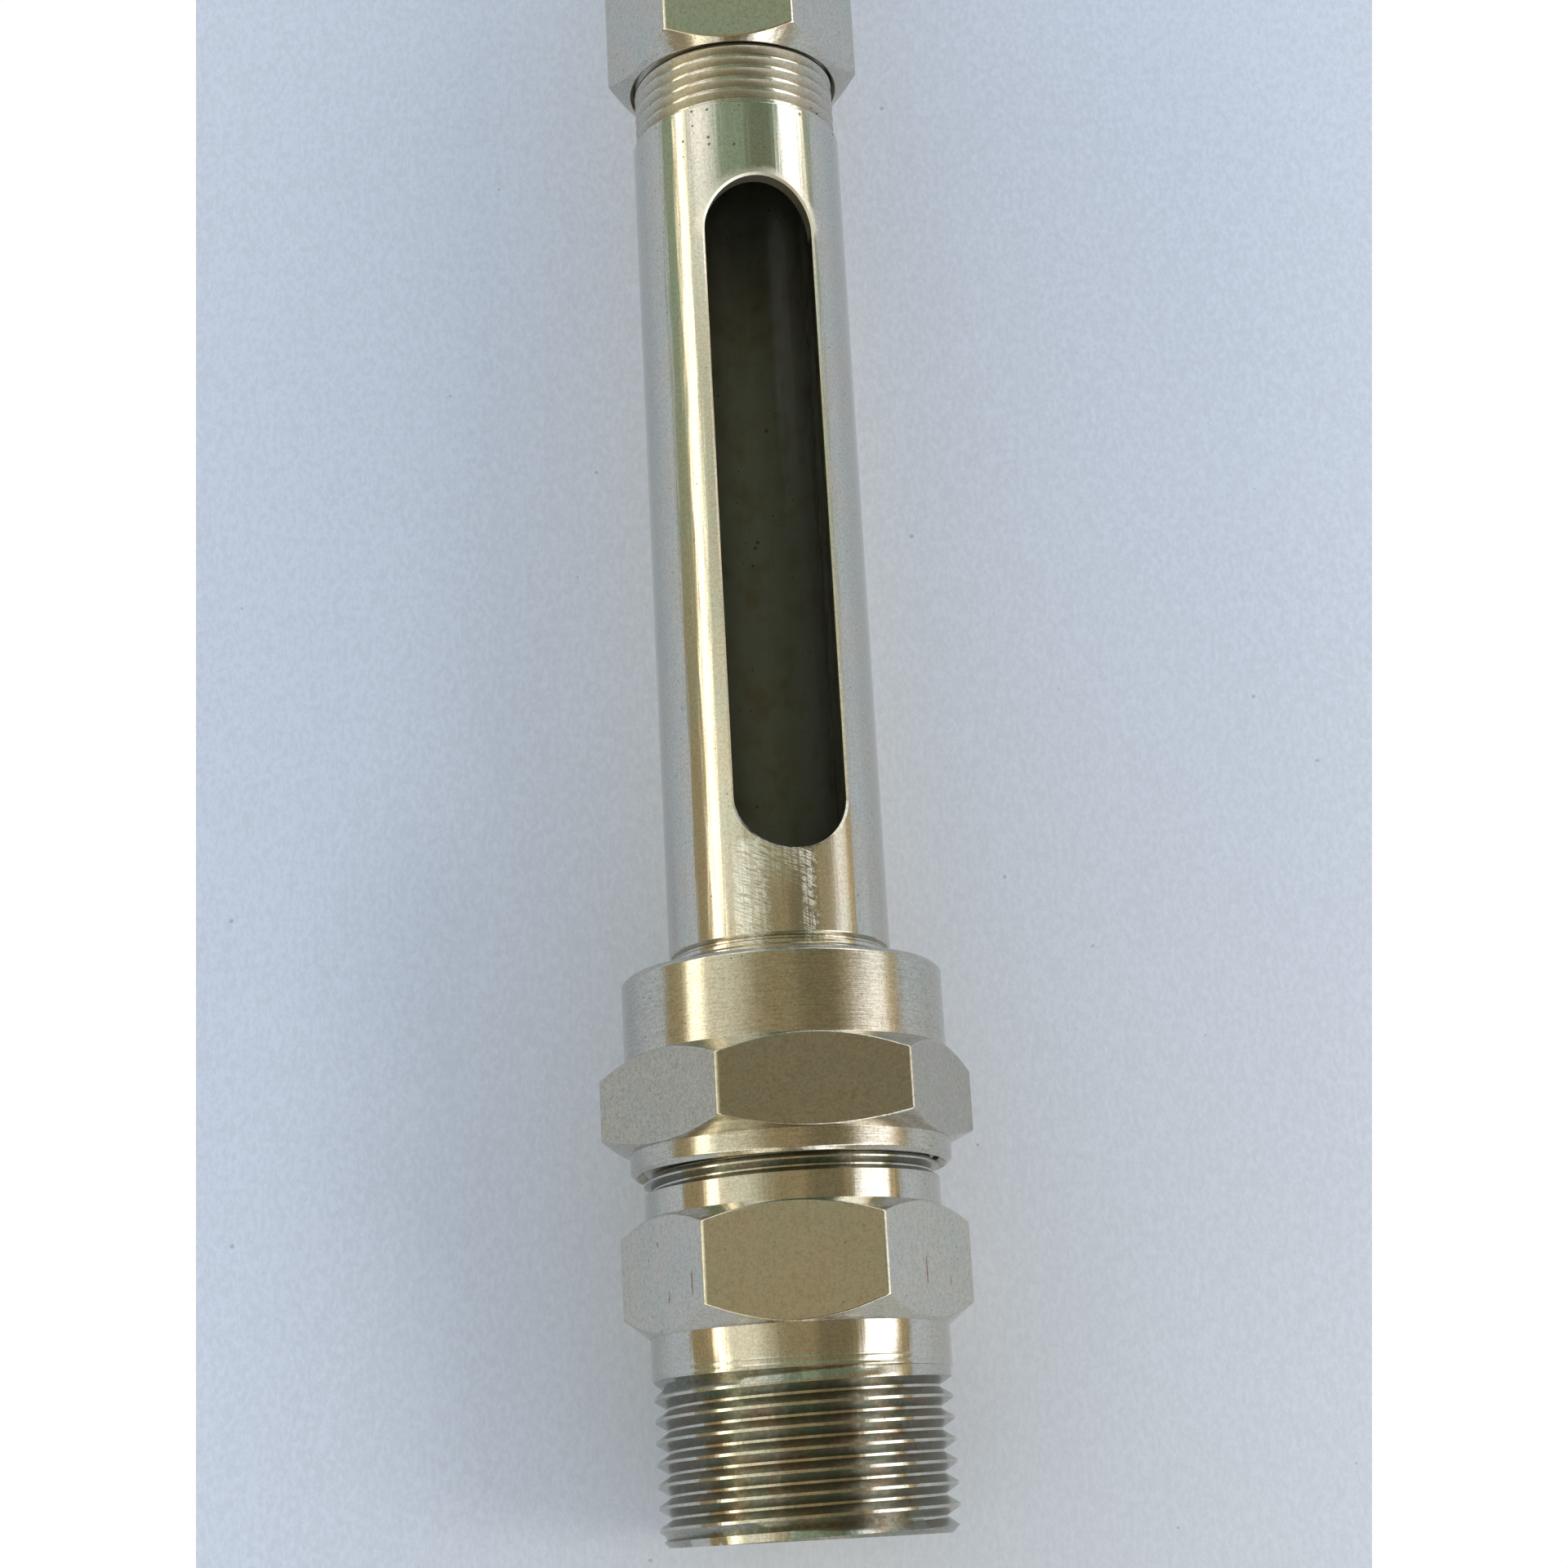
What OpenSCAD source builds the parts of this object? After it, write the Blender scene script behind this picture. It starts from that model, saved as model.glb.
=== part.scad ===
// Tubular sight glass: a slotted guard tube over a glass tube, sealed at each end by packing.
// The bottom centre of the lower pipe thread is the origin, and the slot faces -Y.

/* [Glass and guard tube] */
// Outside diameter of the glass tube
glass_d = 19; // [16:0.5:23]
// Wall of the glass tube
glass_wall = 2; // [1.5:0.1:2.4]
// Radial gap between the glass tube and the guard tube
glass_gap = 0.9; // [0.6:0.1:1.5]
// Wall of the guard tube
tube_wall = 2.3; // [1.9:0.1:3]
// Length of guard tube seen between the gland nut and the upper fitting
tube_open_len = 112.7; // [95:0.1:135]
// Width of the viewing slot
slot_w = 13; // [8:0.5:16]
// Height of the slot's lower end above the gland nut
slot_rise = 12.3; // [8:0.1:16]
// Distance from the slot's upper end up to the upper fitting
slot_drop = 17.6; // [12:0.1:22]

/* [Lower body] */
// Crest diameter of the lower pipe thread
lower_thread_d = 32.9; // [30:0.1:40]
// Length of the lower pipe thread
lower_thread_len = 17.6; // [14:0.1:24]
// Length of the plain neck above the pipe thread
lower_neck_len = 4.7; // [3:0.1:8]
// Radial step from a pipe thread's crests out to its neck
neck_step = 0.175; // [0:0.005:0.3]
// Wall at the flats of the lower hexagon outside its wider neck
lower_flat_wall = 0.375; // [0.2:0.025:3]
// Height of the lower hexagon
lower_hex_h = 12.9; // [10:0.1:18]
// Crest diameter of the fine thread under the gland nut
gland_thread_d = 33.25; // [32:0.05:40]
// Length of plain neck between the lower hexagon and the fine thread
gland_neck_len = 2.8; // [2:0.1:5]
// Length of the fine thread under the gland nut
gland_thread_len = 14; // [12:0.1:18]

/* [Gland nut] */
// Gap left between the lower hexagon and the gland nut
nut_lift = 4.9; // [3.5:0.1:7]
// Wall of the nut's lower collar outside its thread bore
skirt_wall = 1.35; // [1.2:0.05:3]
// Height of the nut's lower collar
skirt_h = 2.5; // [2:0.1:4]
// Wall at the flats of the nut's hexagon outside its thread bore
nut_flat_wall = 1.8; // [1.5:0.05:3]
// Height of the nut's hexagon
nut_hex_h = 10.3; // [8:0.1:13]
// Wall of the nut's upper collar outside the thread bore's diameter
collar_wall = 1.55; // [1.2:0.05:3]
// Height of the nut's upper collar
collar_h = 9.5; // [8.6:0.1:12]
// Turn of the nut's hexagon away from the slot
nut_turn = -2; // [-30:1:30]

/* [Upper fitting] */
// Wall at the flats of the upper hexagon outside its thread bore
upper_flat_wall = 1.1; // [0.9:0.05:3]
// Height of the upper hexagon
upper_hex_h = 21.2; // [18:0.1:28]
// Crest diameter of the upper pipe thread
upper_thread_d = 26.4; // [24:0.1:31]
// Length of the upper pipe thread
upper_thread_len = 16; // [12:0.5:20]
// Length of the plain neck under the upper pipe thread
upper_neck_len = 3.7; // [2:0.1:6]
// Turn of both fitting hexagons away from the slot
hex_turn = -12; // [-30:1:30]

/* [Threads] */
// Pitch of the lower pipe thread
lower_pitch = 2.309; // [1.5:0.001:2.309]
// Pitch of the upper pipe thread
upper_pitch = 1.814; // [1.2:0.001:2.309]
// Pitch of the fine threads
fine_pitch = 1.5; // [1:0.25:1.5]
// Depth of a groove as a share of its pitch
thread_depth_share = 0.58; // [0.4:0.01:0.62]
// Width of a crest as a share of its pitch
crest_share = 0.14; // [0.1:0.01:0.25]
// Step down from the guard tube's surface to its thread crests
tube_thread_step = 0.4; // [0.2:0.05:0.6]
// Exposed length of the guard tube's upper thread
tube_thread_open = 7.7; // [3:0.1:9]
// Length of guard tube screwed into a fitting at each end
tube_grip = 7.5; // [6:0.1:9]
// Radial clearance between a male thread and the bore around it
thread_gap = 0.12; // [0.08:0.01:0.2]

/* [Packing] */
// Wall of the lower body around its packing chamber
chamber_wall = 3; // [2.5:0.1:4]
// Ledge between the upper fitting's thread bore and its packing chamber
upper_ledge = 1; // [0.6:0.05:1.4]
// Height of one packing ring
ring_h = 2.8; // [2.2:0.1:3.2]
// Height of the packing washer
washer_h = 1.5; // [1:0.1:2]
// Height of the lower gland ring
gland_h = 5.4; // [4.5:0.1:7]
// Height of the upper gland ring
upper_gland_h = 2.5; // [2:0.1:4]
// Thickness of a glass seat gasket
gasket_h = 2; // [1.5:0.1:3]
// Depth of the guide bore around each end of the glass
guide_h = 8; // [6:0.5:10]
// Radial clearance of rings and glass in their bores
ring_gap = 0.15; // [0.1:0.01:0.3]
// Diameter of the flow passage through both fittings
passage_d = 15; // [9:0.5:15.5]

/* [Hidden] */
$fn = 96;
rings = 3;
face_gap = 0.1;
over = 1;
steel = [0.66, 0.64, 0.58];
bright = [0.76, 0.73, 0.66];
plain = [0.72, 0.72, 0.72];
ptfe = [0.90, 0.89, 0.86];
rubber = [0.12, 0.12, 0.12];
clear_glass = [0.80, 0.90, 0.92, 0.5];

// Diameters that follow from the sizes above
lower_neck_d = lower_thread_d + 2 * neck_step;
upper_neck_d = upper_thread_d + 2 * neck_step;
lower_hex_af = max(lower_neck_d, gland_thread_d) + 2 * lower_flat_wall;
tube_id = glass_d + 2 * glass_gap;
tube_d = tube_id + 2 * tube_wall;
tube_thread_d = tube_d - 2 * tube_thread_step;
guide_d = glass_d + 2 * ring_gap;
chamber_d = gland_thread_d - 2 * chamber_wall;
nut_bore_d = gland_thread_d + 2 * thread_gap;
skirt_d = nut_bore_d + 2 * skirt_wall;
nut_af = nut_bore_d + 2 * nut_flat_wall;
collar_d = nut_bore_d + 2 * collar_wall;
tube_bore_d = tube_thread_d + 2 * thread_gap;
upper_af = tube_bore_d + 2 * upper_flat_wall;
upper_chamber_d = tube_bore_d - 2 * upper_ledge;

// Heights of the lower body
lower_hex_z = lower_thread_len + lower_neck_len;
gland_neck_z = lower_hex_z + lower_hex_h;
gland_thread_z = gland_neck_z + gland_neck_len;
body_top_z = gland_thread_z + gland_thread_len;
chamber_z = body_top_z + 1.4 - gland_h - rings * ring_h - washer_h;
guide_z = chamber_z - guide_h;

// Heights of the gland nut
nut_z = gland_neck_z + nut_lift;
nut_hex_z = nut_z + skirt_h;
collar_z = nut_hex_z + nut_hex_h;
nut_top_z = collar_z + collar_h;
lip_z = body_top_z + 1.4 + face_gap;
tube_end_z = nut_top_z - tube_grip;

// Heights of the upper end
upper_z = nut_top_z + tube_open_len;
tube_top_z = upper_z + tube_grip;
upper_gland_z = tube_top_z + face_gap;
upper_ring_z = upper_gland_z + upper_gland_h;
upper_washer_z = upper_ring_z + rings * ring_h;
upper_guide_z = upper_washer_z + washer_h;
upper_seat_z = upper_guide_z + guide_h;
upper_neck_z = upper_z + upper_hex_h;
upper_thread_z = upper_neck_z + upper_neck_len;
top_z = upper_thread_z + upper_thread_len;

glass_z = guide_z + gasket_h;
glass_top_z = upper_seat_z - gasket_h - face_gap;
slot_z = nut_top_z + slot_rise;
slot_len = tube_open_len - slot_rise - slot_drop;
relief_z = nut_top_z + 1.4;
relief_h = 1.1;

// Outline of a threaded stretch, low end first: flat crests, straight flanks, chamfered open ends.
function groove(r, z, pitch) = [
    [r, z + pitch * crest_share],
    [r - pitch * thread_depth_share, z + pitch * 0.5],
    [r - pitch * thread_depth_share, z + pitch * (0.5 + crest_share)],
    [r, z + pitch]];

function grooves(r, z, len, pitch) =
    [for (i = [0 : floor(len / pitch) - 1], p = groove(r, z + i * pitch, pitch)) p];

function stud(d, z, len, pitch, chamfer_low, chamfer_high) = concat(
    chamfer_low > 0 ? [[d / 2 - chamfer_low, z], [d / 2, z + chamfer_low]] : [[d / 2, z]],
    grooves(d / 2, z + chamfer_low + 0.02, len - chamfer_low - chamfer_high - 0.04, pitch),
    chamfer_high > 0 ? [[d / 2, z + len - chamfer_high], [d / 2 - chamfer_high, z + len]]
        : [[d / 2, z + len]]);

// Hexagon bar with its corners turned off by a cone at each end.
module hex_bar(af, z, h, r_low, rise_low, r_high, rise_high, turn) {
    e = af / cos(30) / 2;
    intersection() {
        rotate(turn) translate([0, 0, z]) cylinder(r = e, h = h, $fn = 6);
        rotate_extrude() polygon([[0, z], [r_low, z], [e + 0.05, z + rise_low],
            [e + 0.05, z + h - rise_high], [r_high, z + h], [0, z + h]]);
    }
}

module plug(d, z, h) translate([0, 0, z]) cylinder(d = d, h = h);

module ring(od, id, z, h, edge = 0.2) {
    difference() {
        rotate_extrude() polygon([[0, z], [od / 2 - edge, z], [od / 2, z + edge],
            [od / 2, z + h - edge], [od / 2 - edge, z + h], [0, z + h]]);
        plug(id, z - over, h + 2 * over);
    }
}

module lower_body() color(steel) difference() {
    union() {
        rotate_extrude() polygon(concat(
            [[0, 0]],
            stud(lower_thread_d, 0, lower_thread_len, lower_pitch, 1, 0),
            [[lower_neck_d / 2, lower_thread_len], [lower_neck_d / 2, lower_hex_z + 0.5],
                [gland_thread_d / 2, gland_neck_z - 0.5]],
            stud(gland_thread_d, gland_thread_z, gland_thread_len, fine_pitch, 0, 0.8),
            [[0, body_top_z]]));
        hex_bar(lower_hex_af, lower_hex_z, lower_hex_h, lower_neck_d / 2 + 0.1, 2.4,
            gland_thread_d / 2 + 0.1, 1.9, hex_turn);
    }
    plug(passage_d, -over, guide_z + 2 * over);
    plug(guide_d, guide_z, body_top_z);
    plug(chamber_d, chamber_z, body_top_z);
}

module lower_seat_gasket() color(rubber)
    ring(guide_d - 2 * face_gap, passage_d, guide_z, gasket_h);

module lower_packing_washer() color(plain)
    ring(chamber_d - 2 * ring_gap, guide_d, chamber_z, washer_h);

module lower_packing(i) color(ptfe)
    ring(chamber_d - 2 * face_gap, glass_d + 2 * face_gap, chamber_z + washer_h + i * ring_h, ring_h, 0.3);
module lower_packing_ring_1() lower_packing(0);
module lower_packing_ring_2() lower_packing(1);
module lower_packing_ring_3() lower_packing(2);

module glass_tube() color(clear_glass)
    ring(glass_d, glass_d - 2 * glass_wall, glass_z, glass_top_z - glass_z, 0.3);

module lower_gland_ring() color(plain)
    ring(chamber_d - 2 * ring_gap, glass_d + 2 * ring_gap,
        chamber_z + washer_h + rings * ring_h + face_gap, gland_h - face_gap, 0.3);

module gland_nut() color(steel) difference() {
    union() {
        rotate_extrude() polygon([[0, nut_z], [skirt_d / 2 - 0.5, nut_z], [skirt_d / 2, nut_z + 0.5],
            [skirt_d / 2, nut_hex_z + 0.5], [0, nut_hex_z + 0.5]]);
        hex_bar(nut_af, nut_hex_z, nut_hex_h, skirt_d / 2 + 0.1, 1.6, collar_d / 2 + 0.1, 2.1, nut_turn);
        rotate_extrude() polygon([[0, collar_z - 0.5], [collar_d / 2, collar_z - 0.5],
            [collar_d / 2, nut_top_z - 0.5], [collar_d / 2 - 0.5, nut_top_z], [0, nut_top_z]]);
    }
    plug(nut_bore_d, nut_z - over, lip_z - nut_z + over);
    plug(tube_id + 0.6, nut_z, nut_top_z);
    plug(tube_bore_d, tube_end_z, nut_top_z);
    translate([0, 0, nut_z - 0.01]) rotate_extrude()
        polygon([[0, 0], [nut_bore_d / 2 + 0.7, 0], [nut_bore_d / 2 - 0.1, 0.8], [0, 0.8]]);
}

module slot_cutter() {
    depth = tube_d / 2 + over;
    r = slot_w / 2;
    for (z = [slot_z + r, slot_z + slot_len - r])
        translate([0, 0, z]) rotate([90, 0, 0]) cylinder(r = r, h = depth);
    translate([-r, -depth, slot_z + r]) cube([slot_w, depth, slot_len - slot_w]);
}

module guard_tube() color(bright) difference() {
    rotate_extrude() polygon(concat(
        [[0, tube_end_z]],
        stud(tube_thread_d, tube_end_z, tube_grip + 0.2, fine_pitch, 0.5, 0),
        [[tube_thread_d / 2, relief_z], [tube_d / 2 - 0.25, relief_z],
            [tube_d / 2 - 0.25, relief_z + relief_h], [tube_d / 2, relief_z + relief_h],
            [tube_d / 2, upper_z - tube_thread_open - 0.3]],
        stud(tube_thread_d, upper_z - tube_thread_open, tube_thread_open + tube_grip, fine_pitch, 0, 0.5),
        [[0, tube_top_z]]));
    plug(tube_id, tube_end_z - over, tube_top_z);
    slot_cutter();
}

module upper_gland_ring() color(plain)
    ring(upper_chamber_d - 2 * ring_gap, glass_d + 2 * ring_gap, upper_gland_z, upper_gland_h, 0.2);

module upper_packing(i) color(ptfe)
    ring(upper_chamber_d - 2 * ring_gap, glass_d + 2 * ring_gap, upper_ring_z + i * ring_h, ring_h, 0.2);
module upper_packing_ring_1() upper_packing(0);
module upper_packing_ring_2() upper_packing(1);
module upper_packing_ring_3() upper_packing(2);

module upper_packing_washer() color(plain)
    ring(upper_chamber_d - 2 * ring_gap, glass_d + 2 * ring_gap, upper_washer_z, washer_h);

module upper_seat_gasket() color(rubber)
    ring(guide_d - 2 * face_gap, passage_d, upper_seat_z - gasket_h, gasket_h);

module upper_body() color(steel) difference() {
    union() {
        hex_bar(upper_af, upper_z, upper_hex_h, tube_bore_d / 2 + 0.3, 2.0,
            upper_neck_d / 2 + 0.05, 1.6, hex_turn);
        rotate_extrude() polygon(concat(
            [[0, upper_neck_z - 2], [upper_neck_d / 2, upper_neck_z - 2],
                [upper_neck_d / 2, upper_thread_z]],
            stud(upper_thread_d, upper_thread_z, upper_thread_len, upper_pitch, 0, 1),
            [[0, top_z]]));
    }
    plug(passage_d, upper_z - over, top_z);
    plug(guide_d, upper_z - over, upper_seat_z - upper_z + over);
    plug(upper_chamber_d, upper_z - over, upper_guide_z - upper_z + over);
    plug(tube_bore_d, upper_z - over, tube_grip + face_gap + over);
}

lower_body();
lower_seat_gasket();
lower_packing_washer();
lower_packing_ring_1();
lower_packing_ring_2();
lower_packing_ring_3();
glass_tube();
lower_gland_ring();
gland_nut();
guard_tube();
upper_gland_ring();
upper_packing_ring_1();
upper_packing_ring_2();
upper_packing_ring_3();
upper_packing_washer();
upper_seat_gasket();
upper_body();
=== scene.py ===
"""Looks of a tubular sight glass: turned steel with true helical threads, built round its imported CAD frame.

Sizes are in metres. A turned piece is a stack of rows: a row goes once round the axis, and rows may be
circles or hexagons. Angles start at the viewing slot, which faces -Y, and grow towards +X.
"""
import math

import bmesh
import bpy
import numpy as np
from mathutils import Matrix, Vector


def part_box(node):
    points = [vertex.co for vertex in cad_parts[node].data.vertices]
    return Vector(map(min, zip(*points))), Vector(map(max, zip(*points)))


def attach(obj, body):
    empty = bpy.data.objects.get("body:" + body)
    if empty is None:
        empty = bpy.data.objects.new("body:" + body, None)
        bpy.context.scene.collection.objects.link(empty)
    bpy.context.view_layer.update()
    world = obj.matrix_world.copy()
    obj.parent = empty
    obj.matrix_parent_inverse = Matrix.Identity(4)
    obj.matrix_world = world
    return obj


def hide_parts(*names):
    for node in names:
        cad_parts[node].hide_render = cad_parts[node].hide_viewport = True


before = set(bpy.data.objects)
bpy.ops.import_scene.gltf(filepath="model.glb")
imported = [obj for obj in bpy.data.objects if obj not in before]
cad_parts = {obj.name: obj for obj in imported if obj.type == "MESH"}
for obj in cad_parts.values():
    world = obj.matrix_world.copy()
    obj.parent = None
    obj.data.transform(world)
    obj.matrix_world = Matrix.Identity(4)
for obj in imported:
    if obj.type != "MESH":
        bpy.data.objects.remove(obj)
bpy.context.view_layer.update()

bl_info = {
    "name": "Tubular sight glass",
    "version": (1, 0, 0),
    "blender": (4, 5, 0),
    "location": "View3D > Sidebar > Sight glass",
    "description": "Builds the threaded fittings, slotted guard tube, glass and packing of a sight glass",
    "category": "Object",
}

MM = 0.001
AROUND = 180          # samples round every turned piece, so hexagon corners fall on a sample
WELD = 1e-6           # vertices nearer than this are one
SHARP = math.radians(32)  # edges bent more than this are shaded as sharp
GUARD = 0.05 * MM     # how far a rounding's shading may reach into the faces beside it
LEDGE = 0.1 * MM      # flat ledge between a round neck and the cone of a hexagon
THREAD_END = 0.1 * MM     # run-out of a thread whose end is cut off
RING_GAP = 0.15 * MM      # clearance of washers, gland rings and upper packing round the glass
PACKING_GAP = 0.1 * MM    # clearance of the lower packing, which doesn't turn
PIPE_CHAMFER = 1.0 * MM   # chamfer of a pipe thread's open end
PASSAGE_CHAMFER = 0.6 * MM    # mouth of the flow passage
GLAND_CHAMFER = 0.8 * MM      # open end of the fine thread under the nut
TUBE_CHAMFER = 0.5 * MM       # outside of the guard tube's ends
BORE_CHAMFER = 0.4 * MM       # inside of the guard tube's ends
COLLAR_CHAMFER = 0.5 * MM     # outer edges of the nut's collars
HEX_FLATS = (3, 4, 5)     # bands of a hexagon's rows that are its flats and their edges
TURN = np.arange(AROUND) * 2 * math.pi / AROUND


# ---------------------------------------------------------------- sizes

def length(name, description, millimetres):
    """A length property, given in millimetres and kept in metres."""
    return bpy.props.FloatProperty(name=name, description=description, default=millimetres * MM,
                                   unit="LENGTH", precision=5)


def angle(name, description, degrees):
    return bpy.props.FloatProperty(name=name, description=description, default=math.radians(degrees),
                                   subtype="ANGLE")


def share(name, description, value):
    return bpy.props.FloatProperty(name=name, description=description, default=value, min=0, max=1,
                                   subtype="FACTOR")


class SightGlassSizes(bpy.types.PropertyGroup):
    """Sizes that the CAD frame's boxes don't give by themselves."""
    glass_wall: length("Glass wall", "Wall of the glass tube", 2.0)
    passage_radius: length("Passage radius", "Flow passage through both fittings", 7.5)
    pipe_thread_length: length("Lower pipe thread", "Length of the lower pipe thread", 17.6)
    pipe_pitch: length("Lower pipe pitch", "Pitch of the lower pipe thread", 2.309)
    pipe_crest: length("Lower crest radius", "Crest radius of the lower pipe thread", 16.45)
    neck_step: length("Neck step", "Radial step from pipe thread crests to the neck", 0.175)
    lower_neck: length("Lower neck", "Plain neck above the lower pipe thread", 4.7)
    lower_flat_wall: length("Lower flat wall", "Hexagon flat outside the neck", 0.375)
    lower_hex: length("Lower hexagon height", "Height of the lower hexagon", 12.9)
    gland_neck: length("Gland neck", "Plain neck above the lower hexagon", 2.8)
    gland_crest: length("Gland crest radius", "Crest radius of the fine thread under the nut", 16.625)
    chamber_wall: length("Chamber wall", "Wall round the packing chamber", 3.0)
    fine_pitch: length("Fine pitch", "Pitch of the fine threads", 1.5)
    thread_gap: length("Thread gap", "Radial clearance of a female thread", 0.12)
    skirt_wall: length("Skirt wall", "Wall of the nut's lower collar", 1.35)
    skirt: length("Skirt height", "Height of the nut's lower collar", 2.5)
    nut_flat_wall: length("Nut flat wall", "Wall at the flats of the nut", 1.8)
    nut_hex: length("Nut hexagon height", "Height of the nut's hexagon", 10.3)
    collar_wall: length("Collar wall", "Wall of the nut's upper collar", 1.55)
    tube_wall: length("Guard tube wall", "Wall of the guard tube", 2.3)
    tube_step: length("Tube thread step", "Step from the tube down to its thread crests", 0.4)
    tube_grip: length("Tube grip", "Thread engaged at each end of the guard tube", 7.5)
    tube_thread_open: length("Open tube thread", "Tube thread seen below the upper fitting", 7.7)
    slot_radius: length("Slot radius", "Half the width of the viewing slot", 6.5)
    slot_rise: length("Slot rise", "Slot's lower end above the nut", 12.3)
    slot_drop: length("Slot drop", "Slot's upper end below the upper fitting", 17.6)
    upper_flat_wall: length("Upper flat wall", "Wall at the flats of the upper hexagon", 1.1)
    upper_hex: length("Upper hexagon height", "Height of the upper hexagon", 21.2)
    upper_neck: length("Upper neck", "Plain neck under the upper pipe thread", 3.7)
    upper_crest: length("Upper crest radius", "Crest radius of the upper pipe thread", 13.2)
    upper_pitch: length("Upper pipe pitch", "Pitch of the upper pipe thread", 1.814)
    edge_break: length("Edge break", "Break on hexagon and slot edges", 0.09)
    hex_turn: angle("Hexagon turn", "Turn of both fitting hexagons", -12)
    nut_turn: angle("Nut turn", "Turn of the nut's hexagon", -2)
    thread_depth: share("Thread depth", "Depth of a thread as a share of its pitch", 0.58)
    crest_share: share("Crest share", "Width of a thread's crest as a share of its pitch", 0.14)


def colour(name, description, rgb):
    return bpy.props.FloatVectorProperty(name=name, description=description, default=rgb, size=3,
                                         subtype="COLOR", min=0, max=3)


class SightGlassColours(bpy.types.PropertyGroup):
    """Colours of the finishes and of the stage."""
    steel: colour("Steel", "Turned stainless steel", (0.645, 0.605, 0.515))
    steel_warm: colour("Warm steel", "Heat-tinted patches of the steel", (0.65, 0.585, 0.485))
    steel_cool: colour("Cool steel", "Cool patches of the steel", (0.61, 0.605, 0.525))
    thread_soil: colour("Thread soil", "Cutting oil left on thread flanks", (0.26, 0.275, 0.235))
    # The next colour is painted shade on every inside face, mixed below with real brown stains.
    bore_painted_shade: colour("Bore soil", "Grime inside the guard tube", (0.35, 0.345, 0.30))
    rust: colour("Rust", "Small rust marks", (0.28, 0.10, 0.06))
    tarnish: colour("Tarnish", "Dull grain of the steel", (0.34, 0.305, 0.225))
    drawn_grain: colour("Drawn grain", "Lines along the hexagon flats", (0.42, 0.36, 0.25))
    streak: colour("Streak", "Coppery streaks along round faces", (0.52, 0.38, 0.28))
    thread_grime: colour("Thread grime", "Redder oil in the threads", (0.30, 0.25, 0.20))
    bore_stain: colour("Bore stain", "Brown stains inside the guard tube", (0.27, 0.20, 0.12))
    pit: colour("Pit", "Small pits and dark stains", (0.07, 0.06, 0.045))
    scratch: colour("Scratch", "Fresh scratches under the slot", (1.0, 1.0, 0.98))
    worn_edge: colour("Worn edge", "Deburred edge over the slot", (0.86, 0.85, 0.76))
    machined: colour("Machined shade", "Darker tone of the washers and gland rings", (0.5, 0.48, 0.42))
    glass: colour("Glass", "Borosilicate tube", (0.96, 0.985, 0.98))
    dust: colour("Dust", "Specks of dirt on the glass", (0.10, 0.08, 0.05))
    packing: colour("Packing", "White packing rings", (0.80, 0.79, 0.75))
    # The next colour is painted shade in the hollows of the packing's weave.
    packing_painted_shade: colour("Packing shade", "Hollows of the packing's weave", (0.66, 0.63, 0.55))
    gasket: colour("Gasket", "Black rubber gasket", (0.025, 0.025, 0.027))
    gasket_shade: colour("Gasket bloom", "Greyer tone of the rubber", (0.05, 0.05, 0.05))
    # The sheet's colours are painted light and shade: paper is its lit tone at the upper left, and the next
    # colour is painted shade near the piece and towards the lower right.
    paper: colour("Paper", "Pale sheet, at its cool upper left", (0.98, 1.0, 1.0))
    paper_painted_shade: colour("Warm paper", "Pale sheet, warm near the piece and lower right", (0.82, 0.80, 0.72))
    paper_speck: colour("Paper speck", "Specks in the pale sheet", (0.2, 0.2, 0.22))
    lamp: colour("Lamp", "Light that gives the sheet its soft shadow", (1.0, 1.0, 1.05))
    sky: colour("Sky", "Light that the sheet receives", (0.405, 0.482, 0.645))
    room: colour("Room", "Room that the steel mirrors", (0.40, 0.33, 0.195))
    room_high: colour("Upper room", "The same room higher up", (0.33, 0.43, 0.32))
    window_warm: colour("Warm window", "Broad window on the left", (1.14, 1.13, 0.95))
    window_strip: colour("Bright strip", "Bright edge of the left window", (3.0, 2.9, 2.4))
    window_white: colour("White window", "Window on the right", (2.6, 2.65, 2.75))
    window_high: colour("High window", "Upper part of the left window", (1.6, 1.62, 1.62))
    strip_edge: colour("Strip edge", "Coppery outer edge of the bright strip", (1.1, 0.72, 0.34))
    window_edge: colour("Window edge", "Golden outer edge of the right window", (1.15, 0.90, 0.55))
    room_shade: colour("Room shade", "Darker wall right of the camera", (0.12, 0.11, 0.07))
    room_ends: colour("Room ends", "Ceiling and floor of the room", (0.11, 0.10, 0.07))


def sizes():
    return bpy.context.scene.sight_glass_sizes


def colours():
    return bpy.context.scene.sight_glass_colours


def rgba(value):
    """A colour as an opaque socket value."""
    return (*value, 1.0)


# ---------------------------------------------------------------- node expressions

class Field:
    """One node socket, so that sums and products of sockets read as Python expressions."""

    def __init__(self, graph, socket):
        self.graph, self.socket = graph, socket

    def math(self, operation, *others):
        return self.graph.node("ShaderNodeMath", {"operation": operation},
                               dict(enumerate((self, *others))))

    def __add__(self, other):
        return self.math("ADD", other)

    def __sub__(self, other):
        return self.math("SUBTRACT", other)

    def __rsub__(self, other):
        return self.graph.node("ShaderNodeMath", {"operation": "SUBTRACT"}, {0: other, 1: self})

    def __mul__(self, other):
        return self.math("MULTIPLY", other)

    def __truediv__(self, other):
        return self.math("DIVIDE", other)

    __radd__, __rmul__ = __add__, __mul__

    def least(self, other):
        return self.math("MINIMUM", other)

    def most(self, other):
        return self.math("MAXIMUM", other)

    def clamp(self):
        return self.least(1).most(0)

    def above(self, limit):
        return self.math("GREATER_THAN", limit)

    def below(self, limit):
        return self.math("LESS_THAN", limit)

    def step(self, low, high):
        """0 below low, 1 above high, and a smooth ramp between them."""
        return self.graph.node("ShaderNodeMapRange", {"interpolation_type": "SMOOTHSTEP"},
                               {"Value": self, "From Min": low, "From Max": high, "To Min": 0, "To Max": 1})


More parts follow.
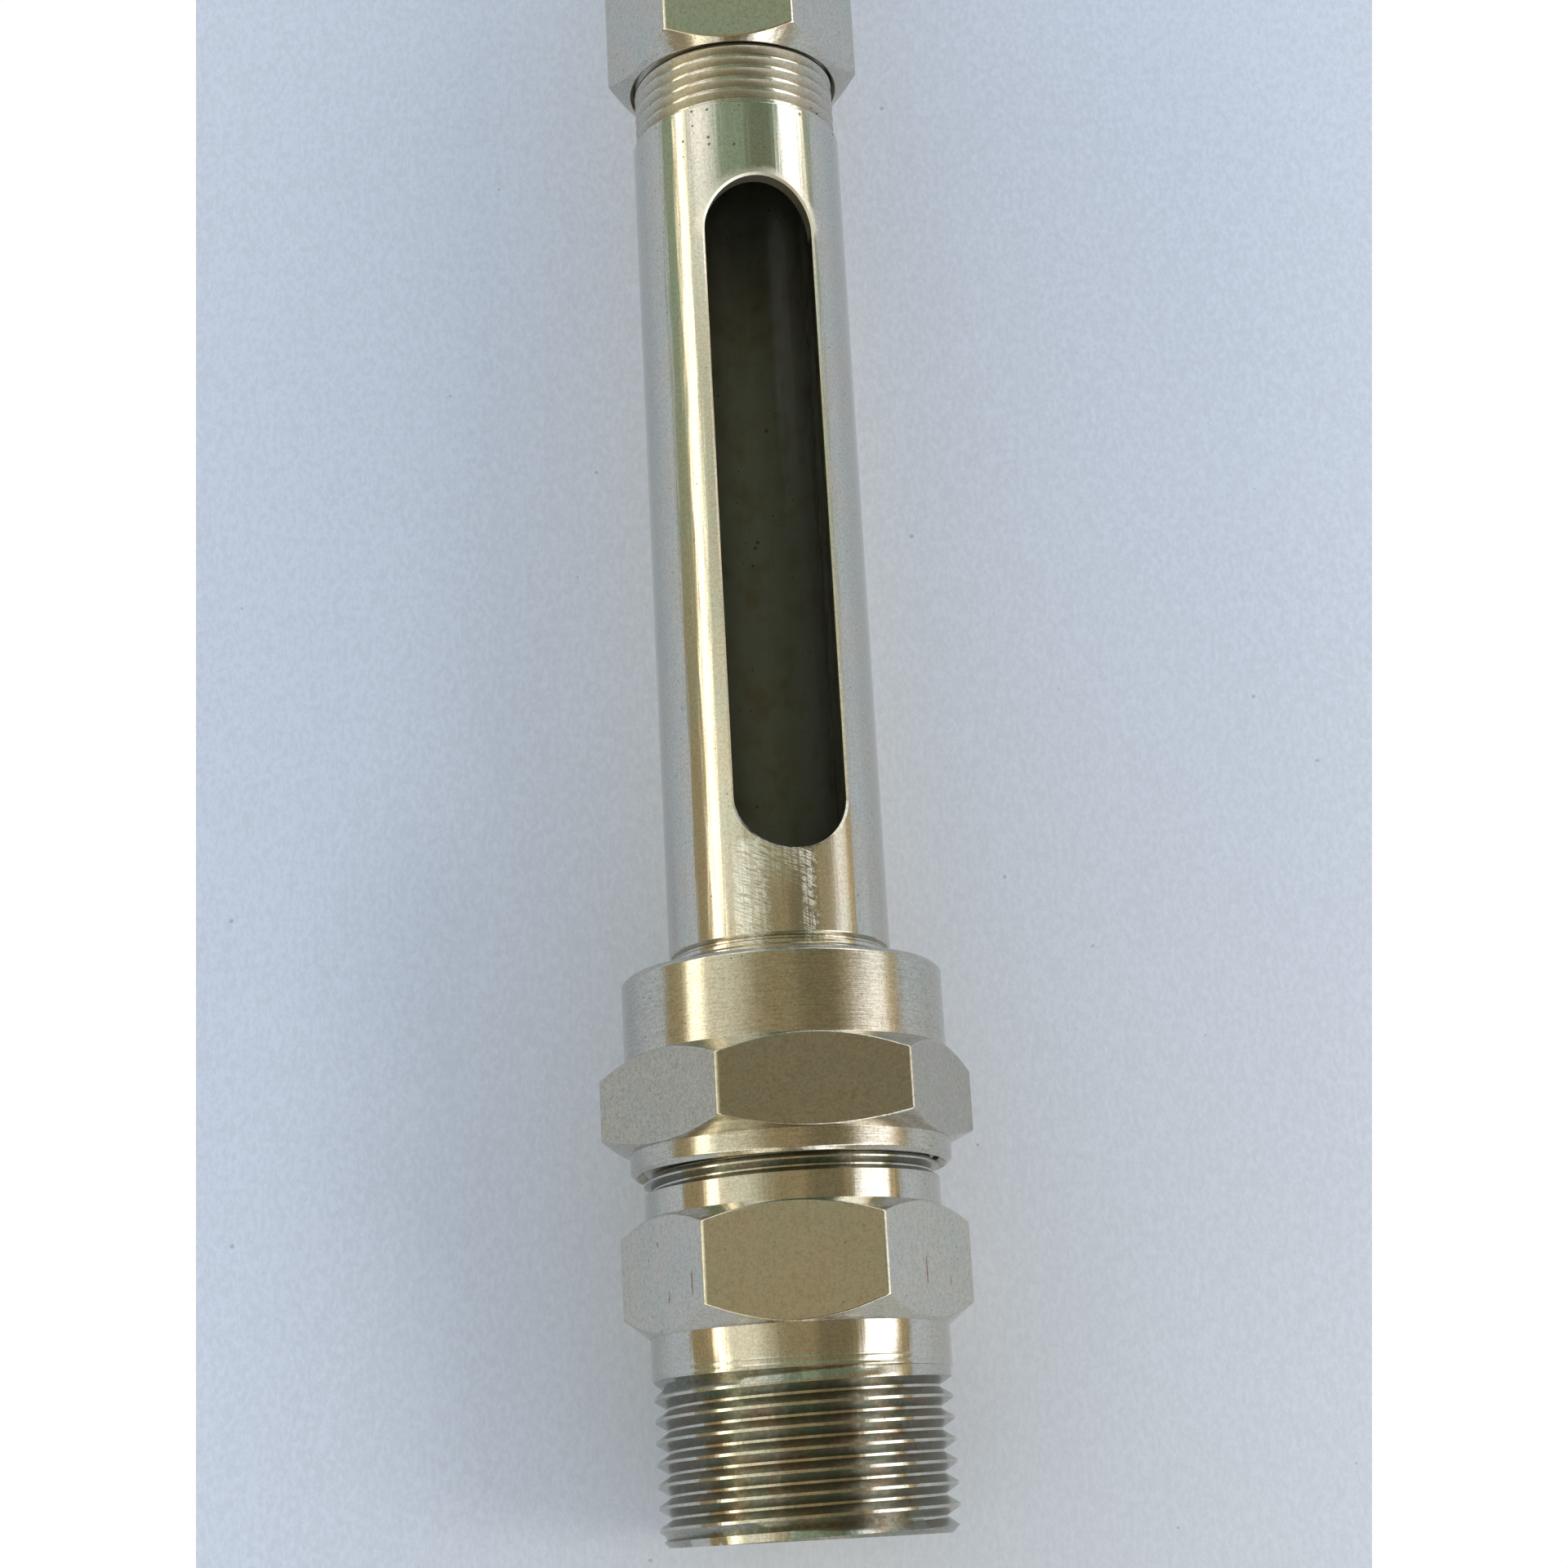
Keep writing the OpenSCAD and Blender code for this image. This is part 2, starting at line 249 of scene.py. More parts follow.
class Graph:
    """A node tree, with one method that adds any node and a few short forms of it."""

    def __init__(self, tree):
        self.tree = tree

    def feed(self, socket, value):
        """Links a field to a socket, or sets the socket's own value."""
        if isinstance(value, Field):
            self.tree.links.new(value.socket, socket)
        else:
            socket.default_value = value

    def node(self, kind, settings=None, inputs=None, output=0):
        made = self.tree.nodes.new(kind)
        for key, value in (settings or {}).items():
            setattr(made, key, value)
        for key, value in (inputs or {}).items():
            self.feed(made.inputs[key], value)
        return Field(self, made.outputs[output])

    def end(self, kind, field):
        """Adds the tree's output node and leads a field into it."""
        self.feed(self.tree.nodes.new(kind).inputs[0], field)

    def outputs(self, field, *names):
        return [Field(self, field.socket.node.outputs[name]) for name in names]

    def vector(self, x, y, z):
        return self.node("ShaderNodeCombineXYZ", inputs={0: x, 1: y, 2: z})

    def split(self, vector):
        return self.outputs(self.node("ShaderNodeSeparateXYZ", inputs={0: vector}), "X", "Y", "Z")

    def stretch(self, vector, factors):
        return self.node("ShaderNodeVectorMath", {"operation": "MULTIPLY"}, {0: vector, 1: factors})

    def mix(self, factor, first, second):
        """Colour mix: first where the factor is 0, second where it is 1."""
        return self.node("ShaderNodeMix", {"data_type": "RGBA"}, {0: factor, 6: first, 7: second}, output=2)

    def noise(self, vector, scale=1.0, detail=3.0, rough=0.5):
        """Noise of this many features a unit, or of three different counts along X, Y and Z."""
        if isinstance(scale, tuple):
            vector, scale = self.stretch(vector, scale), 1.0
        return self.node("ShaderNodeTexNoise", {"noise_dimensions": "3D"},
                         {"Vector": vector, "Scale": scale, "Detail": detail, "Roughness": rough})


# ---------------------------------------------------------------- helical threads, by geometry nodes

# A cut is the chamfer at an end, and a fade is the length over which the thread runs out there.
STATIONS = 5     # points of one thread profile: two on the crest, two in the root, one on the flank back up
THREAD_INPUTS = (
    ("Crest radius", 16.45 * MM), ("Pitch", 2.309 * MM), ("Depth", 1.34 * MM), ("Crest share", 0.14),
    ("Bottom", 0.0), ("Top", 17.6 * MM), ("Bottom cut", 1.0 * MM), ("Top cut", 0.0),
    ("Bottom fade", THREAD_END), ("Top fade", 1.5 * MM))


def thread_tree():
    """A right-hand thread: a grid whose rows climb one pitch a turn, trimmed flat at both ends."""
    tree = bpy.data.node_groups.new("Helical thread", "GeometryNodeTree")
    for name, default in THREAD_INPUTS:
        socket = tree.interface.new_socket(name=name, in_out="INPUT", socket_type="NodeSocketFloat")
        socket.default_value = default
    samples = tree.interface.new_socket(name="Samples", in_out="INPUT", socket_type="NodeSocketInt")
    samples.default_value = AROUND
    tree.interface.new_socket(name="Steel", in_out="INPUT", socket_type="NodeSocketMaterial")
    tree.interface.new_socket(name="Geometry", in_out="OUTPUT", socket_type="NodeSocketGeometry")
    g = Graph(tree)
    given = g.node("NodeGroupInput")
    names = [name for name, _ in THREAD_INPUTS] + ["Samples", "Steel"]
    (crest, pitch, depth, share, bottom, top, bottom_cut, top_cut, bottom_fade, top_fade,
     samples, steel) = g.outputs(given, *names)
    rows = ((top - bottom) / pitch).math("CEIL") * STATIONS + 2 * STATIONS + 1
    grid = g.node("GeometryNodeMeshGrid", inputs={
        "Size X": samples, "Size Y": rows - 1, "Vertices X": samples + 1, "Vertices Y": rows})
    place_x, place_y, _ = g.split(g.node("GeometryNodeInputPosition"))
    column = (place_x + samples / 2).math("ROUND")
    row = (place_y + (rows - 1) / 2).math("ROUND")
    turn = ((row + 0.5) / STATIONS).math("FLOOR")
    station = (row - turn * STATIONS).math("ROUND")
    round_share = column / samples

    def per_station(*values):
        """One value for each station of the thread's profile."""
        switch = g.node("GeometryNodeIndexSwitch", {"data_type": "FLOAT"})
        node = switch.socket.node
        while len(node.index_switch_items) < len(values):
            node.index_switch_items.new()
        g.feed(node.inputs["Index"], station)
        for i, value in enumerate(values):
            g.feed(node.inputs[i + 1], value)
        return Field(g, node.outputs[0])

    flank = (1 - share) * 0.43
    along = per_station(0.0, share, share + flank, 1 - flank, 1 - flank * 0.5)
    sunk = per_station(0.0, 0.0, 1.0, 1.0, 0.5)
    height = bottom + (turn - 1 + along + round_share) * pitch
    fade = ((height - bottom) / bottom_fade).clamp() * ((top - height) / top_fade).clamp()
    radius = crest - depth * sunk * fade
    radius = radius.least(crest - bottom_cut + (height - bottom))
    radius = radius.least(crest - top_cut + (top - height))
    low, high = height.below(bottom + WELD), height.above(top - WELD)
    inside = 1 - low - high
    radius = radius * inside + (crest - bottom_cut) * low + (crest - top_cut) * high
    height = height.most(bottom).least(top)
    angle = round_share * (2 * math.pi)
    placed = g.vector(radius * angle.math("SINE"), radius * angle.math("COSINE") * -1, height)
    moved = g.node("GeometryNodeSetPosition", inputs={"Geometry": grid, "Position": placed})
    welded = g.node("GeometryNodeMergeByDistance", inputs={"Geometry": moved, "Distance": WELD})
    painted = g.node("GeometryNodeSetMaterial", inputs={"Geometry": welded, "Material": steel})
    whole = g.node("GeometryNodeRealizeInstances", inputs={"Geometry": painted})
    g.end("NodeGroupOutput", whole)
    return tree


def thread(material, **values):
    """Runs the thread tree with these inputs and returns the plain mesh."""
    tree = bpy.data.node_groups.get("Helical thread") or thread_tree()
    holder = bpy.data.objects.new("thread_maker", bpy.data.meshes.new("thread_maker"))
    bpy.context.scene.collection.objects.link(holder)
    modifier = holder.modifiers.new("Thread", "NODES")
    modifier.node_group = tree
    for item in tree.interface.items_tree:
        if item.in_out == "INPUT" and item.name in values:
            modifier[item.identifier] = values[item.name]
        elif item.in_out == "INPUT" and item.name == "Steel":
            modifier[item.identifier] = material
    evaluated = holder.evaluated_get(bpy.context.evaluated_depsgraph_get())
    mesh = bpy.data.meshes.new_from_object(evaluated)
    holder.modifiers.clear()
    bpy.data.objects.remove(holder)
    return mesh


def male_thread(material, crest, pitch, bottom, top, cuts=(0, 0), fades=(THREAD_END, THREAD_END)):
    """A thread that stands out to its crest radius, its ends chamfered by cuts and run out by fades."""
    s = sizes()
    return thread(material, **{
        "Crest radius": crest, "Pitch": pitch,
        "Depth": pitch * s.thread_depth, "Crest share": s.crest_share,
        "Bottom": bottom, "Top": top, "Bottom cut": cuts[0], "Top cut": cuts[1],
        "Bottom fade": fades[0], "Top fade": fades[1]})


def female_thread(material, bore, pitch, bottom, top, depth=0.32 * MM):
    """Grooves that open outwards from a bore, so they clear the male crests at every turn."""
    return thread(material, **{
        "Crest radius": bore, "Pitch": pitch, "Depth": -depth, "Crest share": 0.3,
        "Bottom": bottom, "Top": top, "Bottom cut": 0.0, "Top cut": 0.0,
        "Bottom fade": 0.6 * MM, "Top fade": 0.6 * MM})


# ---------------------------------------------------------------- rows and turned shells

def row(radius, height, angle=TURN):
    """One row of samples round the axis: angle, radius and height of each."""
    return np.stack(np.broadcast_arrays(angle, radius, height), axis=1).astype(float)


def turned(points, soften=0.0):
    """Circles through profile points (radius, height), each inner corner rounded by soften.
    A row just beyond each rounding keeps its shading off the straight band next to it."""
    points = [Vector(p) for p in points]
    path = [points[0]]
    for before, here, after in zip(points, points[1:], points[2:]):
        back, on = before - here, after - here
        cut = min(soften, back.length * 0.35, on.length * 0.35)
        if cut < 1e-7:
            path.append(here)
            continue
        start, end = here + back.normalized() * cut, here + on.normalized() * cut
        hold = min(GUARD, cut * 0.4)
        path += [start + back.normalized() * hold, start, (start + 2 * here + end) / 4, end,
                 end + on.normalized() * hold]
    path.append(points[-1])
    return [row(p[0], p[1]) for p in path]


def hex_samples(across, turn, corner=0.24 * MM):
    """Angles and radii of a hexagon: samples beside a corner are drawn in to it, so it is rounded."""
    angle = TURN.copy()
    half = across / 2
    pull = corner / (across / math.sqrt(3))
    for side in range(6):
        at = turn + math.radians(30 + 60 * side)
        middle = int(round(at / (2 * math.pi / AROUND))) % AROUND
        for step, reach in ((-2, 1.3), (-1, 1), (1, 1), (2, 1.3)):
            angle[(middle + step) % AROUND] = (at + math.copysign(pull * reach, step)) % (2 * math.pi)
    # Each sample's angle from the middle of its flat, held back a little from the corner.
    offset = (angle - turn + math.pi / 6) % (math.pi / 3) - math.pi / 6
    limit = math.pi / 6 - pull * 0.75
    radius = half / np.cos(np.clip(np.abs(offset), 0, limit))
    return angle, radius


def hexagon(across, turn, bottom, height, low_radius, low_rise, high_radius, high_rise):
    """Rows of a hexagon bar whose corners are turned off by a cone at each end."""
    edge = sizes().edge_break
    angle, flat = hex_samples(across, turn)
    outer = across / math.sqrt(3) + 0.05 * MM
    top = bottom + height

    def low(r):
        return bottom + low_rise * (r - low_radius) / (outer - low_radius)

    def high(r):
        return top - high_rise * (r - high_radius) / (outer - high_radius)

    inner = flat - edge
    return [row(low_radius, bottom), row(inner - GUARD, low(inner - GUARD), angle),
            row(inner, low(inner), angle), row(flat, low(flat) + edge, angle),
            row(flat, low(flat) + edge + GUARD, angle), row(flat, high(flat) - edge - GUARD, angle),
            row(flat, high(flat) - edge, angle), row(inner, high(inner), angle),
            row(inner - GUARD, high(inner - GUARD), angle), row(high_radius, top)]


def place(angle, radius, height):
    """The point at this angle from the slot's side, radius and height."""
    return (radius * math.sin(angle), -radius * math.cos(angle), height)


class Shell:
    """A closed shell under construction. Faces carry marks that the finishes read."""
    MARKS = ("flat", "thread", "inside")

    def __init__(self):
        self.bm = bmesh.new()
        self.layers = {mark: self.bm.faces.layers.float.new(mark) for mark in self.MARKS}

    def mark(self, faces, *marks):
        """Sets each of these marks to 1 on the faces."""
        for face in faces:
            for mark in marks:
                face[self.layers[mark]] = 1.0

    def loops(self, loops, *marks, flats=()):
        """Skins closed loops of as many points each. flats lists the bands that are hexagon flats."""
        rings = [[self.bm.verts.new(point) for point in one] for one in loops]
        for band, (low, high) in enumerate(zip(rings, rings[1:])):
            faces = [self.bm.faces.new((low[k - 1], low[k], high[k], high[k - 1]))
                     for k in range(len(low))]
            self.mark(faces, *marks, *(("flat",) if band in flats else ()))

    def rows(self, rows, *marks, flats=()):
        """Skins rows of samples in order."""
        self.loops([[place(*sample) for sample in one] for one in rows], *marks, flats=flats)

    def turn(self, points, soften=0.0, *marks):
        """Skins a turned profile."""
        self.rows(turned(points, soften), *marks)

    def mesh(self, mesh, *marks):
        """Adds a thread. Its crests and roots stay clean: only the flanks take the marks in full."""
        known = len(self.bm.faces)
        self.bm.from_mesh(mesh)
        self.bm.faces.ensure_lookup_table()
        added = self.bm.faces[known:]
        self.mark(added, *marks)
        for face in added:
            face.normal_update()
            if "thread" in marks and abs(face.normal.z) < 0.4:
                face[self.layers["thread"]] = 0.15
        bpy.data.meshes.remove(mesh)

    def finish(self, name, material, body, node):
        """Welds the shell, checks that it is closed and hands it over in place of its CAD node."""
        bmesh.ops.remove_doubles(self.bm, verts=self.bm.verts, dist=2 * WELD)
        bmesh.ops.dissolve_degenerate(self.bm, edges=self.bm.edges, dist=WELD)
        open_edges = [edge for edge in self.bm.edges if len(edge.link_faces) != 2]
        if open_edges:
            at = [tuple(round(c / MM, 2) for c in edge.verts[0].co) for edge in open_edges[:6]]
            raise RuntimeError(f"{name} has {len(open_edges)} open edges, first near {at} mm")
        bmesh.ops.recalc_face_normals(self.bm, faces=self.bm.faces)
        mesh = bpy.data.meshes.new(name)
        self.bm.to_mesh(mesh)
        self.bm.free()
        mesh.materials.clear()
        mesh.materials.append(material)
        mesh.polygons.foreach_set("material_index", np.zeros(len(mesh.polygons), dtype=np.int32))
        mesh.shade_smooth()
        mesh.set_sharp_from_angle(angle=SHARP)
        piece = bpy.data.objects.new(name, mesh)
        bpy.context.scene.collection.objects.link(piece)
        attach(piece, body)
        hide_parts(node)
        return piece


# ---------------------------------------------------------------- finishes

def between(value, low, low_soft, high, high_soft):
    """1 between low and high, with soft ramps inside both limits."""
    return value.step(low, low + low_soft) * (1 - value.step(high - high_soft, high))


def material_graph(name):
    """A new material and its empty node tree."""
    material = bpy.data.materials.new(name)
    material.use_nodes = True
    material.node_tree.nodes.clear()
    return material, Graph(material.node_tree)


def millimetre_place(g):
    """The point on the piece, in millimetres."""
    place = g.node("ShaderNodeTexCoord", output="Object")
    return g.stretch(place, (1000, 1000, 1000))


def mark(g, name):
    """The faces' mark of this name, as a field."""
    return g.node("ShaderNodeAttribute", {"attribute_name": name}, output="Fac")


def bump(g, height, depth, normal=None):
    """Turns a height from 0 to 1 into relief of this depth, in millimetres."""
    inputs = {"Strength": 1.0, "Distance": depth * MM, "Height": height}
    if normal is not None:
        inputs["Normal"] = normal
    return g.node("ShaderNodeBump", inputs=inputs)


def specks(g, at, size, share, seed):
    """Scattered small dots: 1 inside a dot. share is how many cells hold one."""
    moved = g.node("ShaderNodeVectorMath", {"operation": "ADD"}, {0: at, 1: (seed, seed * 1.7, seed * 0.6)})
    cells = g.node("ShaderNodeTexVoronoi", {"feature": "F1"}, {"Vector": moved, "Scale": 1 / (size * 4)})
    distance, tint = g.outputs(cells, "Distance", "Color")
    chosen, radius, _ = g.split(tint)
    return distance.below(radius * 0.16 + 0.06) * chosen.below(share)


def facing(x, y, angle):
    """Place across and place to the front, as seen from this turn."""
    return x * math.cos(angle) + y * math.sin(angle), x * math.sin(angle) - y * math.cos(angle)


def rust_line(place, angle, low, high, mottle):
    """A thin upright mark, seen from this turn, between two heights."""
    x, y, z = place
    side, front = facing(x, y, angle)
    line = (side + (mottle - 0.5) * 0.5).math("ABSOLUTE").step(0.05, 0.24) * -1 + 1
    return line * z.step(low, low + 0.6) * (1 - z.step(high - 0.9, high)) * front.above(0)


def buffed_patch(g, place, angle, low, high, mottle):
    """Two rubbed legs and the bridge over them, and the slanting scratches that fill them."""
    x, y, z = place
    level, front = facing(x, y, angle)
    side = level + (mottle - 0.5) * 2.6
    legs = between(side, -5.4, 2.2, 0.2, 2.4) + between(side, 2.4, 1.1, 4.8, 1.1) * 0.75
    bridge = between(side, -5.0, 2, 5.0, 2) * z.step(high - 8, high - 1) * 0.8
    patch = legs.most(bridge) * between(z + mottle * 2, low, 3, high + 2, 1.5) * front.above(0)
    slant = g.vector(level * 0.42 + z * 0.9, level * 0.9 - z * 0.42, 0.0)
    return patch, g.noise(slant, (6.0, 0.45, 1.0), detail=2, rough=0.75).step(0.42, 0.60)


def worn_rim(place, centre, radius, mottle):
    """The rim over the slot's upper end, which is a half circle round this height."""
    x, y, z = place
    up = z - centre
    ring = (x * x + up * up).math("SQRT") + (mottle - 0.5) * 1.6
    return between(ring, radius - 0.5, 0.3, radius + 1.5, 1.1) * up.step(-1.5, 1) * (0 - y).above(0)


def steel(name, turning=0.5, waviness=0.5, polish=0.12, flat_rough=0.22, axial_grain=0.0, soil=1.0,
          thread_rough=0.13, flat_dull=0.0, pit_share=0.03, buffed=None, slot_end=None, scarred=None,
          rust_marks=()):
    """Turned stainless steel: rings on round faces, grain on flats, soil in threads, and painted shade that
    darkens the inside.

    Places are in millimetres. rust_marks are turns with a lower and an upper height, buffed is one
    such patch, slot_end is the height and radius of the slot's upper end, and scarred is the band
    of heights that has more pits.
    """
    c = colours()
    material, g = material_graph(name)
    at = millimetre_place(g)
    x, y, z = g.split(at)
    flat, threaded, inside = mark(g, "flat"), mark(g, "thread"), mark(g, "inside")
    round_face = 1 - flat

    rings = g.noise(at, (0.06, 0.06, 4.5), detail=4, rough=0.7)
    fine_rings = g.noise(at, (0.7, 0.7, 9.0), detail=3, rough=0.7)
    drawn = g.noise(at, (6.0, 6.0, 0.22), detail=4, rough=0.6)
    mottle = g.noise(at, scale=1.7, detail=6, rough=0.68)
    clouds = g.noise(at, scale=0.16, detail=2)
    blots = g.noise(at, scale=0.33, detail=4)
    ripple = g.noise(at, (0.6, 0.6, 0.04), detail=2)
    streaks = g.noise(at, (1.9, 1.9, 0.05), detail=4, rough=0.6)
    grit = g.noise(at, scale=3.4, detail=3, rough=0.8)
    pits = specks(g, at, 0.13, pit_share, 3.0)
    stains = specks(g, at, 0.45, 0.06, 11.0) * mottle.step(0.45, 0.6)

    tint = g.mix(clouds.step(0.35, 0.55), rgba(c.steel_cool), rgba(c.steel))
    tint = g.mix(clouds.step(0.5, 0.75) * 0.7, tint, rgba(c.steel_warm))
    dull = mottle.step(0.4, 0.7) * (flat * 0.20 + 0.10)
    ringed = fine_rings.step(0.42, 0.62) * 0.34 + rings.step(0.42, 0.62) * 0.16
    dull = dull + ringed * round_face * turning
    dull = dull + grit.step(0.38, 0.62) * (0.40 - flat * 0.12) - 0.05 + flat * flat_dull
    tint = g.mix(dull.clamp(), tint, rgba(c.tarnish))
    tint = g.mix(drawn.step(0.5, 0.8) * flat * axial_grain * 0.18, tint, rgba(c.drawn_grain))
    tint = g.mix(streaks.step(0.52, 0.75) * round_face * waviness * 0.30, tint, rgba(c.streak))
    grime = g.mix(blots.step(0.42, 0.66), rgba(c.thread_soil), rgba(c.thread_grime))
    tint = g.mix(threaded * soil * (mottle.step(0.3, 0.65) * 0.45 + 0.50), tint, grime)
    # Painted shade: inside faces are painted darker, with brown stain blotches in it.
    painted_shade_and_stains = g.mix(blots.step(0.42, 0.8) * 0.6, rgba(c.bore_painted_shade), rgba(c.bore_stain))
    tint = g.mix(inside * 0.9, tint, painted_shade_and_stains)
    if scarred:
        pits = (pits + specks(g, at, 0.24, 0.30, 23.0) * between(z, scarred[0], 1, scarred[1], 1)).clamp()
    tint = g.mix((pits + stains * 0.6).clamp() * 0.7, tint, rgba(c.pit))
    for angle, low, high in rust_marks:
        line = rust_line((x, y, z), angle, low, high, mottle) * flat
        tint = g.mix(line * 0.75, tint, rgba(c.rust))

    rough = polish + rings * 0.07 * turning + mottle * 0.05 + grit * 0.05 + flat * (flat_rough - polish)
    rough = rough + threaded * thread_rough + inside * 0.55 + pits * 0.3
    rough = rough + (drawn - 0.5) * flat * axial_grain * 0.16

    normal = bump(g, ripple * round_face, 0.06 * waviness)
    normal = bump(g, rings * round_face, 0.010 * turning, normal)
    normal = bump(g, fine_rings * round_face, 0.004 * turning, normal)
    normal = bump(g, streaks * round_face, 0.010 * waviness, normal)
    normal = bump(g, drawn * flat, 0.003 * axial_grain, normal)
    normal = bump(g, mottle * flat, 0.004, normal)
    normal = bump(g, grit, 0.0024, normal)
    normal = bump(g, 1 - pits, 0.015, normal)
    if buffed:
        patch, scratch = buffed_patch(g, (x, y, z), *buffed, mottle)
        patch = patch * (streaks.step(0.36, 0.6) * 0.6 + 0.4)
        rough = rough + patch * (scratch * 0.24 + 0.10)
        tint = g.mix((patch * scratch).clamp(), tint, rgba(c.scratch))
        normal = bump(g, scratch * patch, 0.020, normal)
    if slot_end:
        worn = worn_rim((x, y, z), *slot_end, mottle)
        rough = rough + worn * 0.24
        tint = g.mix(worn * 0.55, tint, rgba(c.worn_edge))
    shader = g.node("ShaderNodeBsdfPrincipled", inputs={
        "Base Color": tint, "Metallic": 1.0, "Roughness": rough.most(0.06), "Normal": normal})
    g.end("ShaderNodeOutputMaterial", shader)
    return material


def clear_glass():
    c = colours()
    material, g = material_graph("Clear glass")
    at = millimetre_place(g)
    smears = g.noise(at, (0.3, 0.3, 0.08), detail=3)
    dust = specks(g, at, 0.35, 0.012, 5.0)
    shader = g.node("ShaderNodeBsdfPrincipled", inputs={
        "Base Color": g.mix(dust * 0.8, rgba(c.glass), rgba(c.dust)),
        "Roughness": smears * 0.04, "IOR": 1.12, "Transmission Weight": 1.0})
    g.end("ShaderNodeOutputMaterial", shader)
    return material


def plain_steel():
    c = colours()
    material, g = material_graph("Machined steel")
    at = millimetre_place(g)
    rings = g.noise(at, (0.2, 0.2, 14.0), detail=3)
    faces = g.noise(at, scale=2.2, detail=4)
    shader = g.node("ShaderNodeBsdfPrincipled", inputs={
        "Base Color": g.mix(faces, rgba(c.steel), rgba(c.machined)), "Metallic": 1.0,
        "Roughness": rings * 0.12 + 0.24, "Normal": bump(g, rings, 0.004)})
    g.end("ShaderNodeOutputMaterial", shader)
    return material


def packing_white():
    c = colours()
    material, g = material_graph("White packing")
    at = millimetre_place(g)
    weave = g.node("ShaderNodeTexVoronoi", {"feature": "F1"}, {"Vector": g.stretch(at, (1.4, 1.4, 1.1))})
    shader = g.node("ShaderNodeBsdfPrincipled", inputs={
        # Painted shade: the weave's hollows, where the bump sinks, are painted darker.
        "Base Color": g.mix(weave * 0.5, rgba(c.packing), rgba(c.packing_painted_shade)),
        "Roughness": weave * 0.15 + 0.5, "Normal": bump(g, 1 - weave, 0.06)})
    g.end("ShaderNodeOutputMaterial", shader)
    return material


def gasket_rubber():
    c = colours()
    material, g = material_graph("Gasket rubber")
    grain = g.noise(millimetre_place(g), scale=5, detail=4)
    shader = g.node("ShaderNodeBsdfPrincipled", inputs={
        "Base Color": g.mix(grain, rgba(c.gasket), rgba(c.gasket_shade)),
        "Roughness": grain * 0.2 + 0.55, "Normal": bump(g, grain, 0.02)})
    g.end("ShaderNodeOutputMaterial", shader)
    return material


# ---------------------------------------------------------------- pieces

def low_high(node):
    """Bottom and top of a CAD node."""
    lo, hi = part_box(node)
    return lo[2], hi[2]


def outer_radius(node):
    """Outer radius of a round CAD node."""
    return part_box(node)[1][0]


# Turn in degrees of each rust mark, and its ends in millimetres over the hexagon's foot.
LOWER_HEX_RUST = ((-49, 3.3, 6.5), (44, 3.5, 7.1), (-66, 2.9, 4.7), (62, 3.7, 5.1))


def make_lower_body():
    """Pipe thread, scored neck, hexagon, second neck and fine thread, round passage and chamber."""
    s = sizes()
    bottom, top = low_high("lower_body")
    neck = s.pipe_crest + s.neck_step
    thread_top = bottom + s.pipe_thread_length
    hex_low = thread_top + s.lower_neck
    material = steel("Lower body steel", turning=0.4, waviness=0.6, polish=0.04, flat_rough=0.25,
                     axial_grain=1.4,
                     rust_marks=[(math.radians(turn), hex_low / MM + low, hex_low / MM + high)
                                 for turn, low, high in LOWER_HEX_RUST])
    hex_high = hex_low + s.lower_hex
    fine_low = hex_high + s.gland_neck
    chamber = s.gland_crest - s.chamber_wall
    washer_low = low_high("lower_packing_washer")[0]
    gasket_low = low_high("lower_seat_gasket")[0]
    guide = outer_radius("lower_seat_gasket") + 0.1 * MM
    shell = Shell()
    shell.turn([(s.passage_radius, gasket_low), (s.passage_radius, bottom + PASSAGE_CHAMFER),
                (s.passage_radius + PASSAGE_CHAMFER, bottom),
                (s.pipe_crest - PIPE_CHAMFER, bottom)], 0.1 * MM)
    shell.mesh(male_thread(material, s.pipe_crest, s.pipe_pitch, bottom, thread_top,
                           cuts=(PIPE_CHAMFER, 0), fades=(1.5 * MM, 1.2 * MM)), "thread")
    score_lines = [(neck - depth, thread_top + (step + offset) * MM) for step in (0.5, 1.15)
                   for offset, depth in ((0, 0), (0.07, 0.04 * MM), (0.11, 0.04 * MM), (0.18, 0))]
    shell.turn([(s.pipe_crest, thread_top), (neck, thread_top + 0.05 * MM), *score_lines,
                (neck, hex_low)])
    shell.turn([(neck, hex_low), (neck + LEDGE, hex_low)])
    flat_radius = max(neck, s.gland_crest) + s.lower_flat_wall
    shell.rows(hexagon(2 * flat_radius, s.hex_turn, hex_low, s.lower_hex, neck + LEDGE, 2.4 * MM,
                       s.gland_crest + LEDGE, 1.9 * MM), flats=HEX_FLATS)
    shell.turn([(s.gland_crest + LEDGE, hex_high), (s.gland_crest, hex_high), (s.gland_crest, fine_low)])
    shell.mesh(male_thread(material, s.gland_crest, s.fine_pitch, fine_low, top,
                           cuts=(0, GLAND_CHAMFER), fades=(0.3 * MM, THREAD_END)), "thread")
    shell.turn([(s.gland_crest - GLAND_CHAMFER, top), (chamber + 0.3 * MM, top), (chamber, top - 0.3 * MM),
                (chamber, washer_low), (guide, washer_low), (guide, gasket_low),
                (s.passage_radius, gasket_low)], 0.08 * MM, "inside")
    return shell.finish("lower_body_steel", material, "base", "lower_body")


